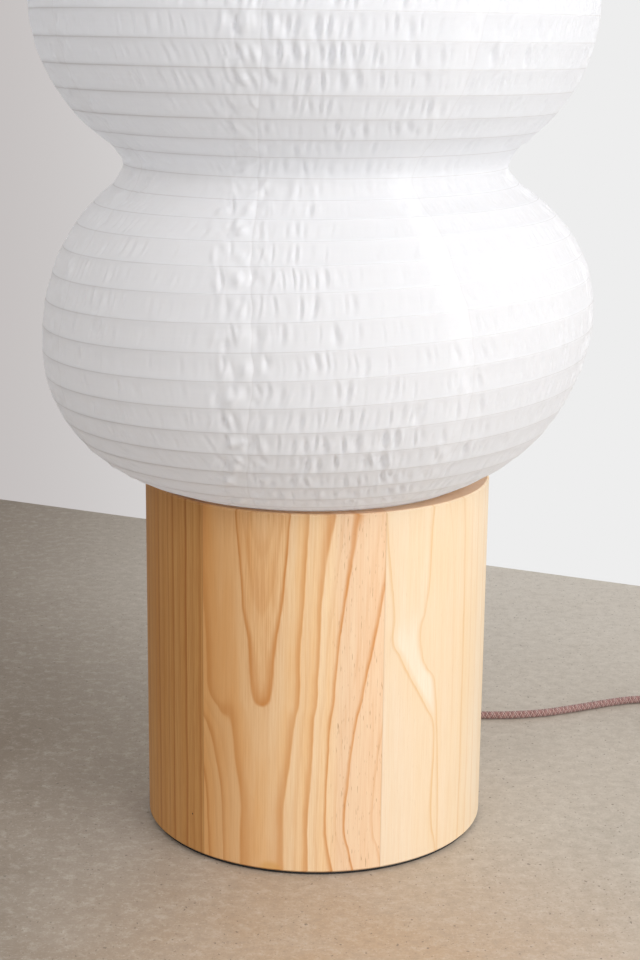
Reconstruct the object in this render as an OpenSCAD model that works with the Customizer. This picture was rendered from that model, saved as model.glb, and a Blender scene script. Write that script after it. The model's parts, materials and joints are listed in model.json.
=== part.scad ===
// Floor lamp: a cloth lantern of stacked bubbles, ribbed with wire hoops, on a drum of pine staves.
// Millimetres. The drum's axis is Z, it stands on z = 0, and the viewer stands at -Y.

/* [Drum] */
// Width of the pine drum
base_d = 270; // [220:1:340]
// Height of the drum's top rim above the floor
base_h = 282; // [220:1:400]
// Thickness of the foam pad under the drum
pad_t = 2.5; // [1:0.5:6]
// How far the pad stops short of the drum's edge
pad_inset = 3; // [1:0.5:10]
// Wall of the drum at a glue joint between two staves
joint_wall = 19; // [17:0.5:26]
// Width of the rim left around the top and bottom boards
rim_w = 16; // [12:0.5:16.5]
// Angle that the front stave takes, in degrees
front_stave = 60.5; // [50:0.5:65]
// Chamfer on the drum's top and bottom edges
edge_ease = 1.5; // [0.5:0.1:3]
// Thickness of the board let into the top
top_board_t = 18; // [15:0.5:24]
// Thickness of the board let into the bottom
bottom_board_t = 15; // [12:0.5:20]
// Gap between a board and the rebate it sits in
board_fit = 0.2; // [0.1:0.05:0.5]

/* [Ballast] */
// Space left round the ballast plate for the cord
ballast_gap = 30; // [26:1:40]
// Thickness of the steel ballast plate
ballast_t = 25; // [12:1:34]

/* [Pole] */
// Outside of the steel pole
pole_d = 16; // [14:0.5:20]
// Wall of the pole
pole_wall = 1.5; // [1:0.1:2.5]
// Width of the flange screwed to the top board
flange_d = 80; // [70:1:100]
// Thickness of the flange
flange_t = 3; // [2.5:0.5:5]
// Height of the flange's neck above its plate
neck_h = 11; // [8:0.5:14]
// Wall of the collars that grip the pole
collar_wall = 5; // [4:0.5:7]
// Stud on the top of the pole
stud_d = 10; // [8:0.5:12]
// Gap all round where one piece slips over another
slip = 0.1; // [0.05:0.01:0.3]

/* [Lamps] */
// Distance from the pole's centre to the centre of a lamp
lamp_reach = 44; // [40:1:60]
// Height of a lamp's globe above the middle of its bubble
lamp_rise = 8; // [0:1:20]
// Turn from one lamp to the next up the pole, in degrees
lamp_turn = 180; // [120:60:180]
// Width of the bulb's globe
bulb_d = 60; // [50:1:70]
// Length of the bulb from its contact to its crown
bulb_len = 108; // [98:1:120]
// Width of the bulb's screw cap
cap_d = 26.5; // [25:0.5:27]
// Height of the bulb's screw cap
cap_h = 26; // [24:0.5:28]
// Outside of the lampholder
holder_d = 38; // [37:0.5:44]
// Height of the lampholder
holder_h = 38; // [36:0.5:44]
// Lead from the pole to a lampholder
lead_d = 5; // [4:0.5:6]

/* [Lantern] */
// Number of bubbles
bubble_count = 3; // [2:1:3]
// Widest part of a bubble
bubble_d = 422; // [380:1:460]
// Height from one neck to the next
bubble_pitch = 240; // [225:1:245]
// Width of the neck between two bubbles
neck_d = 284; // [270:1:310]
// Radius of a bubble's outline, seen from the side
bubble_curve = 125; // [123:0.5:130]
// Opening at the top of the lantern
mouth_d = 150; // [140:1:180]
// Thickness of the cloth
cloth_t = 0.8; // [0.5:0.1:1.5]
// Distance between two wire ribs along the cloth
rib_pitch = 19.2; // [15:0.1:30]
// Wire of a rib
rib_wire = 1.2; // [0.8:0.1:2]
// Wire of the rings in the top and bottom hems
ring_wire = 5; // [3:0.5:6]
// Width of the strap across the top ring
strap_w = 18; // [16:0.5:24]
// Thickness of that strap
strap_t = 2; // [1.5:0.5:3]
// Width of the finial nut
finial_d = 22; // [18:0.5:28]
// Height of the finial nut
finial_h = 16; // [14:0.5:20]
// Gap between what rests and what it rests on
seat_gap = 0.3; // [0.1:0.05:0.5]

/* [Cord] */
// Thickness of the braided cord
cord_d = 7; // [6:0.5:8]
// Height of the hole that the cord leaves by
gland_z = 24; // [20:1:30]
// Length of the tapered sleeve outside the drum
boot_len = 24; // [20:1:30]
// Radius that the cord turns with inside the drum
inner_bend = 14; // [12:0.5:16]
// Loops between the two ends of the coil
coil_turns = 5.5; // [3.5:1:7.5]
// Radius of the coil's innermost loop
coil_core = 27.5; // [26:0.5:32]
// Distance from one loop of the coil to the next
coil_pitch = 7.8; // [7.8:0.1:9]
// Height from the coil's lower layer to its upper one
coil_layer = 7.6; // [7.6:0.1:9]

/* [Foot switch] */
// Length of the switch's housing
switch_len = 92; // [80:1:110]
// Width of the housing
switch_w = 40; // [40:0.5:50]
// Height of the housing
switch_h = 22; // [20:0.5:28]
// Wall of the housing
switch_wall = 2; // [1.5:0.1:3]
// Width of the foot button
button_d = 27; // [22:0.5:27]
// How far the button stands out
button_rise = 6; // [5:0.5:8]
// How far the button travels
button_travel = 3.5; // [2:0.5:4]

/* [Plug] */
// Length of the plug's body
plug_len = 30; // [26:1:40]
// Width of the plug's body
plug_w = 25; // [22:0.5:30]
// Height of the plug's body
plug_h = 19; // [16:0.5:22]

/* [Hidden] */
$fn = 48;
stave_count = 6;
gore_count = 8;
first_seam = 257.5;
front_start = 231.5;
gland_stave = 4;
hoop_gap = 0.1;
base_r = base_d / 2;
pole_r = pole_d / 2;
cord_r = cord_d / 2;
rebate_r = base_r - rim_w;
side_stave = (360 - front_stave) / (stave_count - 1);
joint_r = base_r - joint_wall;
stave_flat = joint_r * cos(side_stave / 2);
underside = base_h - top_board_t;
drum_floor = pad_t + bottom_board_t;

// the cord's way through the drum
gland_angle = stave_start(gland_stave) + side_stave / 2;
spot_r = 10;
spot_x = sqrt(pow(base_r, 2) - pow(spot_r, 2)) - 0.5;
gland_flange_t = 3;
gland_r = cord_r + 2.5;
gland_tip = spot_x + gland_flange_t + boot_len;
lead_straight = 14;
ballast_r = stave_flat - ballast_gap;
riser_x = stave_flat - inner_bend - 5;
run_drop = inner_bend + 2;
run_z = underside - run_drop;
clip_x = riser_x / 2;
clip_w = 26;
clip_l = 14;
clip_h = run_drop + cord_r + 3;
clip_screw_y = 8;

// screws
screw_r = 2;
screw_head_r = 4;
screw_head_h = 2.4;
screw_play = 0.05;
base_screw_len = 30;
base_screw_x = (rebate_r + stave_flat) / 2 + 1;
base_screw_turn = 14;
ballast_screw_r = 2.5;
ballast_head_r = 4.5;
ballast_head_h = 3;
ballast_screw_bite = bottom_board_t - 4;
flange_screw_len = 16;
clip_screw_len = clip_h + 10;
grub_r = 2;

// the lantern's outline: an arc for each bubble and a small fillet at each neck
bubble_r = bubble_d / 2;
half_pitch = bubble_pitch / 2;
curve_x = bubble_r - bubble_curve;
neck_in = neck_d / 2 - curve_x;
fillet_r = (pow(neck_in, 2) + pow(half_pitch, 2) - pow(bubble_curve, 2)) / (2 * (bubble_curve - neck_in));
fillet_x = neck_d / 2 + fillet_r;
turn_a = atan2(half_pitch, fillet_x - curve_x);
foot_a = asin((half_pitch - seat_gap) / bubble_curve);
mouth_a = acos((mouth_d / 2 - curve_x) / bubble_curve);
fillet_len = fillet_r * turn_a * PI / 180;
ring_inset = cloth_t + hoop_gap + 0.25 + ring_wire / 2;
bottom_ring_at = skin_point(1, ring_wire / 2, ring_inset);
top_ring_at = skin_point(bubble_count, skin_len(bubble_count), ring_inset);
strap_z = top_ring_at[1] - ring_wire / 2 - strap_t;
strap_reach = top_ring_at[0] + ring_wire / 2 + 1;

// the pole and the lamps
pole_bore = pole_r - pole_wall;
collar_r = pole_r + collar_wall;
collar_h = 14;
stud_shoulder_r = pole_r + 3;
stud_shoulder_t = 3;
stud_plug = 15;
pole_top = strap_z - seat_gap - stud_shoulder_t;
plate_t = 3;
plate_r = holder_d / 2 - 2;
arm_w = 16;
nipple_r = 5;
nipple_bore = 3.6;
nut_t = 4;
nut_r = 8.5;
nipple_len = plate_t + nut_t + 2;
holder_floor = 4;
holder_ring_z = 20;
holder_bore = cap_d / 2 + 2.9;
insert_floor = 4;
bulb_focus = holder_floor + insert_floor + bulb_len - bulb_d / 2;
lead_turn = 9;
lead_drop = nipple_len + lead_turn;
cable_r = 3;

// the foot switch, the coil and the plug lie on the floor beside the drum
switch_at = [355, 130, 0];
switch_boot = 18;
switch_cord_z = 8;
switch_split = 9;
switch_end = switch_len / 2 + switch_boot;
button_skirt_r = button_d / 2 + 1.5;
button_skirt_t = 2.5;
button_hole_r = button_d / 2 + 0.4;
button_top = switch_h + button_rise;
skirt_z = switch_h - switch_wall - button_skirt_t;
spring_floor = switch_wall;
spring_r = 6;
spring_turns = 5;
boss_r = 3.5;
boss_x = switch_len / 2 - switch_w / 2;
boss_y = switch_w / 2 - switch_wall - boss_r + 0.3;
switch_screw_len = switch_h - switch_wall - 4;
coil_at = [404, 30, cord_r];
coil_end_r = coil_core + coil_pitch * coil_turns / 2;
coil_rings = 24;
plug_at = [430, 134, 0];
plug_tail = 24;
plug_cord_z = plug_h / 2;
blade_l = 17.5;
blade_w = 6.3;
blade_t = 1.5;
blade_apart = 12.7;
blade_root = 6;
finger_r = 15.5;
finger_depth = 1.5;

// the cord's route from the drum to the switch, then to the coil, and from the coil to the plug
exit_dir = [cos(gland_angle), sin(gland_angle), 0];
lead_route = concat(
    [gland_tip * exit_dir + [0, 0, gland_z]],
    [(gland_tip + lead_straight) * exit_dir + [0, 0, gland_z]],
    [
        [28, 188, 21.5], [33, 201, 15.5], [43, 210, 8.5], [58, 214, 4.2], [76, 213, 3.5], [97, 208, 3.5],
        [118, 202, 3.5], [138, 197, 3.5], [156, 195, 3.5], [176, 195.5, 3.5], [194, 198, 3.5],
        [212, 202, 3.5], [233, 210, 3.5], [255, 220, 3.5], [270, 227, 3.5], [285, 233.5, 3.5],
        [298, 238, 3.5], [311, 240.5, 3.5], [325, 239, 3.5], [339, 232, 3.7], [349, 220, 4.7],
        [354, 208, 6.9]
    ],
    [
        switch_at + [0, switch_end + 4, switch_cord_z],
        switch_at + [0, switch_end, switch_cord_z]
    ]
);
link_route = [
    switch_at + [0, -switch_end, switch_cord_z],
    switch_at + [0, -switch_end - 3, switch_cord_z],
    [355, 57.5, 7.5],
    [355, 51.5, 5.7],
    [355, 45.5, 4],
    coil_at + [-coil_end_r, cord_d + 3, 0],
    coil_at + [-coil_end_r, cord_d, 0]
];
tail_route = [
    coil_at + [coil_end_r, cord_d, coil_layer],
    coil_at + [coil_end_r, cord_d + 3, coil_layer],
    [453, 52, 10.3],
    [452, 66, 7.2],
    [449, 82, 4.2],
    [444, 98, 3.8],
    [437, 112, 6],
    [431, 123, 9],
    plug_at + [0, -3, plug_cord_z],
    plug_at + [0, 0, plug_cord_z]
];

echo(coil_gap = coil_gap());

// ---- shared shapes ----

// Countersunk screw with its head's face at z = 0 and its shank going down
module wood_screw(length, play = 0) {
    union() {
        translate([0, 0, -screw_head_h])
            cylinder(r1 = screw_r + play, r2 = screw_head_r + play, h = screw_head_h);
        translate([0, 0, -length - play])
            cylinder(r = screw_r + play, h = length + play);
    }
}

// Pan-headed screw with the underside of its head at z = 0
module pan_screw(length, shank_r, head_r, head_h) {
    rotate_extrude()
        polygon([
            [0, -length], [shank_r, -length], [shank_r, 0], [head_r, 0],
            [head_r, head_h * 0.6], [head_r * 0.7, head_h], [0, head_h]
        ]);
}

// Quarter turn of a round lead in the XZ plane, from angle "from" on a circle of the given radius
module quarter_bend(bend_r, lead_r, from) {
    rotate([90, 0, 0])
        rotate([0, 0, from])
            rotate_extrude(angle = 90)
                translate([bend_r, 0])
                    circle(r = lead_r);
}

// Straight length of a round lead along X
module lead_along_x(from, to, lead_r) {
    translate([from, 0, 0])
        rotate([0, 90, 0])
            cylinder(r = lead_r, h = to - from);
}

// Long shape with round ends, from a profile of [half width, height] pairs
module obround(length, profile) {
    straight = length / 2 - max([for (p = profile) p[0]]);
    mirrored = concat(profile, [for (i = [len(profile) - 1:-1:0]) [-profile[i][0], profile[i][1]]]);
    union() {
        for (side = [-1, 1])
            translate([side * straight, 0, 0])
                rotate_extrude()
                    polygon(concat([[0, profile[0][1]]], profile, [[0, profile[len(profile) - 1][1]]]));
        rotate([90, 0, 90])
            translate([0, 0, -straight])
                linear_extrude(height = 2 * straight)
                    polygon(mirrored);
    }
}

// Points and tangents of a tube swept along a route
function unit(v) = v / norm(v);
function way(p, i) = unit(p[min(i + 1, len(p) - 1)] - p[max(i - 1, 0)]);
function side_of(t) = unit(cross(t, [0, 0, 1]));
function ring_point(p, i, r, a) =
    let (t = way(p, i))
    let (s = side_of(t))
    p[i] + r * (cos(a) * s + sin(a) * cross(s, t));

module swept_tube(path, r, sides) {
    last = (len(path) - 1) * sides;
    polyhedron(
        points = [
            for (i = [0:len(path) - 1])
                for (k = [0:sides - 1])
                    ring_point(path, i, r, (k + 0.5) * 360 / sides)
        ],
        faces = concat(
            [for (k = [1:sides - 2]) [0, k + 1, k]],
            [for (k = [1:sides - 2]) [last, last + k, last + k + 1]],
            [
                for (i = [0:len(path) - 2])
                    for (k = [0:sides - 1])
                        [i * sides + k, i * sides + (k + 1) % sides, (i + 1) * sides + (k + 1) % sides]
            ],
            [
                for (i = [0:len(path) - 2])
                    for (k = [0:sides - 1])
                        [i * sides + k, (i + 1) * sides + (k + 1) % sides, (i + 1) * sides + k]
            ]
        )
    );
}

// ---- drum ----

function stave_start(i) = i == 1 ? front_start : front_start + front_stave + (i - 2) * side_stave;
function stave_span(i) = i == 1 ? front_stave : side_stave;
function stave_flat_at(i) = joint_r * cos(stave_span(i) / 2);

// One stave: round outside, flat inside, with a rebate at each end for the boards
module stave(i) {
    span = stave_span(i);
    flat = stave_flat_at(i);
    core = flat - 8;
    color([0.93, 0.77, 0.55])
        difference() {
            rotate([0, 0, stave_start(i)])
                rotate_extrude(angle = span)
                    polygon([
                        [core, drum_floor], [rebate_r, drum_floor], [rebate_r, pad_t],
                        [base_r - edge_ease, pad_t], [base_r, pad_t + edge_ease],
                        [base_r, base_h - edge_ease], [base_r - edge_ease, base_h],
                        [rebate_r, base_h], [rebate_r, underside], [core, underside]
                    ]);
            rotate([0, 0, stave_start(i) + span / 2]) {
                translate([flat - 2 * base_r, -base_r, 0])
                    cube([2 * base_r, 2 * base_r, base_h]);
                rotate([0, 0, base_screw_turn])
                    translate([base_screw_x, 0, pad_t])
                        mirror([0, 0, 1])
                            wood_screw(base_screw_len, screw_play);
                if (i == gland_stave)
                    gland_hole();
            }
        }
}

module gland_hole() {
    translate([0, 0, gland_z]) {
        lead_along_x(0, base_r + 1, gland_r + slip);
        lead_along_x(spot_x, base_r + 1, spot_r);
    }
}

module top_board() {
    color([0.90, 0.74, 0.52])
        difference() {
            translate([0, 0, underside])
                cylinder(r = rebate_r - board_fit, h = top_board_t);
            translate([0, 0, underside - 1])
                cylinder(r = cord_r + 1, h = top_board_t + 2);
            at_flange_screws()
                wood_screw(flange_screw_len, screw_play);
            at_clip_screws()
                wood_screw(clip_screw_len, screw_play);
        }
}

module bottom_board() {
    color([0.80, 0.66, 0.47])
        difference() {
            translate([0, 0, pad_t])
                cylinder(r = rebate_r - board_fit, h = bottom_board_t);
            at_base_screws()
                wood_screw(base_screw_len, screw_play);
            at_ballast_screws()
                translate([0, 0, -ballast_t - ballast_screw_bite])
                    cylinder(r = ballast_screw_r + screw_play, h = ballast_t + ballast_screw_bite);
        }
}

module at_base_screws() {
    for (i = [1:stave_count])
        rotate([0, 0, stave_start(i) + stave_span(i) / 2 + base_screw_turn])
            translate([base_screw_x, 0, pad_t])
                mirror([0, 0, 1])
                    children();
}

module base_screws() {
    color([0.72, 0.70, 0.62])
        at_base_screws()
            wood_screw(base_screw_len);
}

module at_ballast_screws() {
    for (a = [0, 120, 240])
        rotate([0, 0, a])
            translate([ballast_r * 0.6, 0, drum_floor + ballast_t])
                children();
}

module ballast_plate() {
    color([0.35, 0.36, 0.38])
        difference() {
            translate([0, 0, drum_floor])
                cylinder(r = ballast_r, h = ballast_t);
            at_ballast_screws()
                translate([0, 0, -ballast_t - 1])
                    cylinder(r = ballast_screw_r + slip, h = ballast_t + 2);
        }
}

module ballast_screws() {
    color([0.72, 0.70, 0.62])
        at_ballast_screws()
            pan_screw(ballast_t + ballast_screw_bite, ballast_screw_r, ballast_head_r, ballast_head_h);
}

module foot_pad() {
    color([0.12, 0.12, 0.12])
        cylinder(r = base_r - pad_inset, h = pad_t);
}

// ---- cord inside the drum ----

// Bush with a flange in the spot face and a tapered, ribbed sleeve outside
module cord_gland() {
    flange_x = spot_x + gland_flange_t;
    tip_r = cord_r + 1;
    rib = boot_len / 8;
    color([0.86, 0.85, 0.82])
        rotate([0, 0, gland_angle])
            translate([0, 0, gland_z])
                rotate([0, 90, 0])
                    rotate_extrude()
                        polygon(concat(
                            [[cord_r + slip, stave_flat], [gland_r, stave_flat], [gland_r, spot_x]],
                            [[spot_r - 0.5, spot_x], [spot_r - 0.5, flange_x - 1], [spot_r - 1.5, flange_x]],
                            [
                                for (k = [0:3])
                                    for (p = [[1.4, 0.2], [1.4, 1.2], [0.5, 1.4], [0.5, 1.9]])
                                        [
                                            tip_r + (3.5 - k) / 4 * (gland_r - tip_r) + p[0] / 2,
                                            flange_x + (2 * k + p[1]) * rib
                                        ]
                            ],
                            [[tip_r, gland_tip], [cord_r + slip, gland_tip]]
                        ));
}

// Lead from the gland up the inside of the drum, along under the top board and into the pole
module base_lead() {
    color([0.55, 0.40, 0.38])
        rotate([0, 0, gland_angle])
            union() {
                translate([0, 0, gland_z])
                    lead_along_x(riser_x + inner_bend, gland_tip, cord_r);
                translate([riser_x + inner_bend, 0, gland_z + inner_bend])
                    quarter_bend(inner_bend, cord_r, 180);
                translate([riser_x, 0, gland_z + inner_bend])
                    cylinder(r = cord_r, h = run_z - gland_z - 2 * inner_bend);
                translate([riser_x - inner_bend, 0, run_z - inner_bend])
                    quarter_bend(inner_bend, cord_r, 0);
                translate([0, 0, run_z])
                    lead_along_x(inner_bend, riser_x - inner_bend, cord_r);
                translate([inner_bend, 0, run_z + inner_bend])
                    quarter_bend(inner_bend, cord_r, 180);
                translate([0, 0, run_z + inner_bend])
                    cylinder(r = cord_r, h = base_h - run_z - inner_bend);
            }
}

// Block that holds the lead up under the top board
module cord_clip() {
    color([0.90, 0.90, 0.88])
        difference() {
            rotate([0, 0, gland_angle])
                translate([clip_x - clip_l / 2, -clip_w / 2, underside - clip_h])
                    cube([clip_l, clip_w, clip_h]);
            rotate([0, 0, gland_angle])
                translate([0, 0, run_z])
                    lead_along_x(0, riser_x, cord_r + slip);
            at_clip_screws()
                wood_screw(clip_screw_len, screw_play);
        }
}

module at_clip_screws() {
    rotate([0, 0, gland_angle])
        for (side = [-1, 1])
            translate([clip_x, side * clip_screw_y, underside - clip_h])
                mirror([0, 0, 1])
                    children();
}

module clip_screws() {
    color([0.72, 0.70, 0.62])
        at_clip_screws()
            wood_screw(clip_screw_len);
}

// ---- pole ----

module at_flange_screws() {
    for (a = [30, 150, 270])
        rotate([0, 0, a])
            translate([(flange_d / 2 + collar_r) / 2, 0, base_h + flange_t])
                children();
}

module pole_flange() {
    color([0.80, 0.80, 0.80])
        difference() {
            translate([0, 0, base_h])
                rotate_extrude()
                    polygon([
                        [pole_r + slip, 0], [flange_d / 2, 0], [flange_d / 2, flange_t - 0.8],
                        [flange_d / 2 - 0.8, flange_t], [collar_r + 2, flange_t],
                        [collar_r, flange_t + 2], [collar_r, flange_t + neck_h - 0.8],
                        [collar_r - 0.8, flange_t + neck_h], [pole_r + slip, flange_t + neck_h]
                    ]);
            at_flange_screws()
                wood_screw(flange_screw_len, slip);
            translate([0, 0, base_h + flange_t + neck_h / 2 + 1])
                grub_hole();
        }
}

module flange_screws() {
    color([0.72, 0.70, 0.62])
        at_flange_screws()
            wood_screw(flange_screw_len);
}

// Hole and screw on the side of a collar away from the lamp
module grub_hole() {
    rotate([0, 0, 180])
        lead_along_x(pole_r / 2, collar_r + 1, grub_r + screw_play);
}

module grub_screw() {
    rotate([0, 0, 180])
        lead_along_x(pole_r, collar_r, grub_r);
}

module set_screws() {
    color([0.25, 0.25, 0.26]) {
        translate([0, 0, base_h + flange_t + neck_h / 2 + 1])
            grub_screw();
        for (i = [1:bubble_count])
            at_lamp(i)
                translate([0, 0, -collar_h / 2])
                    grub_screw();
    }
}

module pole() {
    color([0.82, 0.82, 0.82])
        difference() {
            translate([0, 0, base_h])
                cylinder(r = pole_r, h = pole_top - base_h);
            translate([0, 0, base_h - 1])
                cylinder(r = pole_bore, h = pole_top - base_h + 2);
            for (i = [1:bubble_count])
                at_lamp(i)
                    translate([0, 0, -lead_drop])
                        lead_along_x(1, pole_r + 1, lead_d / 2 + 0.5);
        }
}

// Stud pressed into the pole's top, with a shoulder for the lantern's strap
module pole_stud() {
    color([0.75, 0.75, 0.76])
        translate([0, 0, pole_top])
            rotate_extrude()
                polygon([
                    [0, -stud_plug], [pole_bore - slip - 0.6, -stud_plug],
                    [pole_bore - slip, -stud_plug + 0.6], [pole_bore - slip, 0],
                    [stud_shoulder_r, 0], [stud_shoulder_r, stud_shoulder_t],
                    [stud_d / 2, stud_shoulder_t],
                    [stud_d / 2, stud_shoulder_t + strap_t + finial_h - 5],
                    [stud_d / 2 - 1, stud_shoulder_t + strap_t + finial_h - 4],
                    [0, stud_shoulder_t + strap_t + finial_h - 4]
                ]);
}

module pole_cable() {
    color([0.90, 0.90, 0.88])
        translate([0, 0, base_h])
            cylinder(r = cable_r, h = lamp_z(bubble_count) - lead_drop + lead_d - base_h);
}

// ---- lamps ----

function bubble_z(i) = base_h + (i - 0.5) * bubble_pitch;
function lamp_z(i) = bubble_z(i) + lamp_rise - bulb_focus;

// The frame of lamp i: the pole's axis at the height of the bracket's plate, with the arm along X
module at_lamp(i) {
    translate([0, 0, lamp_z(i)])
        rotate([0, 0, lamp_turn * (i - 1)])
            children();
}

module lamp_bracket(i) {
    color([0.80, 0.80, 0.80])
        at_lamp(i)
            difference() {
                union() {
                    translate([0, 0, -collar_h])
                        cylinder(r = collar_r, h = collar_h);
                    translate([0, -arm_w / 2, -plate_t])
                        cube([lamp_reach, arm_w, plate_t]);
                    translate([lamp_reach, 0, -plate_t])
                        cylinder(r = plate_r, h = plate_t);
                    // gusset under the arm
                    translate([0, 1.5, -plate_t])
                        rotate([90, 0, 0])
                            linear_extrude(height = 3)
                                polygon([[0, 0], [lamp_reach - nut_r - 2, 0], [collar_r, plate_t - collar_h],
                                         [0, plate_t - collar_h]]);
                }
                translate([0, 0, -collar_h - 1])
                    cylinder(r = pole_r + slip, h = collar_h + 2);
                translate([lamp_reach, 0, -plate_t - 1])
                    cylinder(r = nipple_r + slip, h = plate_t + 2);
                translate([0, 0, -collar_h / 2])
                    grub_hole();
            }
}

// Lampholder shell with the hollow nipple that fixes it to the bracket
module lampholder(i) {
    outer = holder_d / 2;
    color([0.95, 0.94, 0.91])
        at_lamp(i)
            translate([lamp_reach, 0, 0])
                rotate_extrude()
                    polygon([
                        [nipple_bore, -nipple_len], [nipple_r, -nipple_len], [nipple_r, 0],
                        [outer - 4, 0], [outer - 2.5, 1.5], [outer - 2.5, 9], [outer, 14],
                        [outer, holder_ring_z], [outer - 0.8, holder_ring_z + 1],
                        [outer - 0.8, holder_ring_z + 3], [outer, holder_ring_z + 4],
                        [outer, holder_h - 1], [outer - 1, holder_h], [holder_bore, holder_h],
                        [holder_bore, holder_floor], [nipple_bore, holder_floor]
                    ]);
}

module holder_inserts() {
    outer = holder_bore - slip;
    bore = cap_d / 2 + 0.3;
    color([0.97, 0.97, 0.96])
        for (i = [1:bubble_count])
            at_lamp(i)
                translate([lamp_reach, 0, holder_floor])
                    rotate_extrude()
                        polygon([
                            [0, 0.01], [outer, 0.01], [outer, insert_floor + cap_h - 2],
                            [outer - 1, insert_floor + cap_h - 1], [bore, insert_floor + cap_h - 1],
                            [bore, insert_floor], [0, insert_floor]
                        ]);
}

module holder_nuts() {
    color([0.75, 0.75, 0.76])
        for (i = [1:bubble_count])
            at_lamp(i)
                translate([lamp_reach, 0, -plate_t - nut_t])
                    difference() {
                        cylinder(r = nut_r, h = nut_t, $fn = 6);
                        translate([0, 0, -1])
                            cylinder(r = nipple_r + screw_play, h = nut_t + 2);
                    }
}

// Leads that leave the pole below each lamp and turn up into its nipple
module holder_leads() {
    color([0.90, 0.90, 0.88])
        for (i = [1:bubble_count])
            at_lamp(i)
                translate([0, 0, -lead_drop])
                    union() {
                        lead_along_x(cable_r, lamp_reach - lead_turn, lead_d / 2);
                        translate([lamp_reach - lead_turn, 0, lead_turn])
                            quarter_bend(lead_turn, lead_d / 2, 270);
                        translate([lamp_reach, 0, lead_turn])
                            cylinder(r = lead_d / 2, h = nipple_len);
                    }
}

module bulb_caps() {
    r = cap_d / 2;
    color([0.78, 0.77, 0.72])
        for (i = [1:bubble_count])
            at_lamp(i)
                translate([lamp_reach, 0, holder_floor + insert_floor])
                    rotate_extrude()
                        polygon([
                            [0, 0], [4.5, 0], [5, 1], [9, 2.5], [r - 1.5, 3.5],
                            [r, 6], [r, cap_h], [0, cap_h]
                        ]);
}

// Outline of the bulb's glass above its cap, drawn in by "inset": neck curve and globe
module bulb_outline(inset) {
    r = bulb_d / 2;
    cap = cap_d / 2;
    wide = r - cap;
    centre = bulb_len - cap_h - r;
    intersection() {
        union() {
            translate([0, centre])
                circle(r = r - inset);
            polygon([
                [0, -inset], [cap - inset, -inset], [cap - inset + 0.06 * wide, 0.14 * centre],
                [cap - inset + 0.18 * wide, 0.31 * centre], [cap - inset + 0.48 * wide, 0.53 * centre],
                [(r - inset) * cos(27), centre - (r - inset) * sin(27)], [0, centre]
            ]);
        }
        translate([0, -inset])
            square([r, bulb_len]);
    }
}

module bulb(i) {
    glass_t = 1;
    color([0.98, 0.98, 0.96])
        at_lamp(i)
            translate([lamp_reach, 0, holder_floor + insert_floor + cap_h])
                rotate_extrude()
                    difference() {
                        bulb_outline(0);
                        bulb_outline(glass_t);
                    }
}

// ---- lantern ----

// Where bubble i's arc begins and ends, and how much of its neck fillets it takes
function arc_from(i) = i == 1 ? -foot_a : -turn_a;
function arc_to(i) = i == bubble_count ? mouth_a : turn_a;
function low_fillet(i) = i == 1 ? 0 : fillet_len;
function high_fillet(i) = i == bubble_count ? 0 : fillet_len;
function skin_len(i) = low_fillet(i) + (arc_to(i) - arc_from(i)) * bubble_curve * PI / 180 + high_fillet(i);
function rib_count(i) = round(skin_len(i) / rib_pitch);

// Point [radius, height] at a distance s up the cloth of bubble i, drawn in by "inset"
function fillet_point(s, z, up, inset) =
    let (b = s / fillet_r * 180 / PI)
    [fillet_x - (fillet_r + inset) * cos(b), z + up * (fillet_r + inset) * sin(b)];
function arc_point(s, i, inset) =
    let (a = arc_from(i) + s / bubble_curve * 180 / PI)
    [curve_x + (bubble_curve - inset) * cos(a), bubble_z(i) + (bubble_curve - inset) * sin(a)];
function skin_point(i, s, inset) =
    s < low_fillet(i) ? fillet_point(s, bubble_z(i) - half_pitch, 1, inset)
    : s > skin_len(i) - high_fillet(i) ? fillet_point(skin_len(i) - s, bubble_z(i) + half_pitch, -1, inset)
    : arc_point(s - low_fillet(i), i, inset);

// The cloth runs straight from rib to rib
skin_outside = [
    for (i = [1:bubble_count])
        for (k = [i == 1 ? 0 : 1:rib_count(i)])
            skin_point(i, skin_len(i) * k / rib_count(i), 0)
];
skin_inside = [
    for (i = [bubble_count:-1:1])
        for (k = [rib_count(i):-1:i == 1 ? 0 : 1])
            skin_point(i, skin_len(i) * k / rib_count(i), cloth_t)
];
hoops_at = [
    for (i = [1:bubble_count])
        for (k = [1:rib_count(i) - (i == bubble_count ? 1 : 0)])
            skin_point(i, skin_len(i) * k / rib_count(i), cloth_t + hoop_gap + rib_wire / 2)
];

module gore(i) {
    color([0.95, 0.94, 0.93])
        rotate([0, 0, first_seam + (i - 1) * 360 / gore_count])
            rotate_extrude(angle = 360 / gore_count)
                polygon(concat(skin_outside, skin_inside));
}

module wire_ring(at, wire, sides = $fn) {
    translate([0, 0, at[1]])
        rotate_extrude()
            translate([at[0], 0])
                circle(r = wire / 2, $fn = sides);
}

module rib_hoops() {
    color([0.85, 0.85, 0.85])
        for (at = hoops_at)
            wire_ring(at, rib_wire, 6);
}

module bottom_ring() {
    color([0.85, 0.85, 0.85])
        wire_ring(bottom_ring_at, ring_wire);
}

module top_ring() {
    color([0.85, 0.85, 0.85])
        wire_ring(top_ring_at, ring_wire);
}

module top_strap() {
    color([0.80, 0.80, 0.80])
        difference() {
            translate([0, 0, strap_z])
                intersection() {
                    cylinder(r = strap_reach, h = strap_t);
                    translate([-strap_reach, -strap_w / 2, 0])
                        cube([2 * strap_reach, strap_w, strap_t]);
                }
            translate([0, 0, strap_z - 1])
                cylinder(r = stud_d / 2 + slip, h = strap_t + 2);
        }
}

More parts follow.
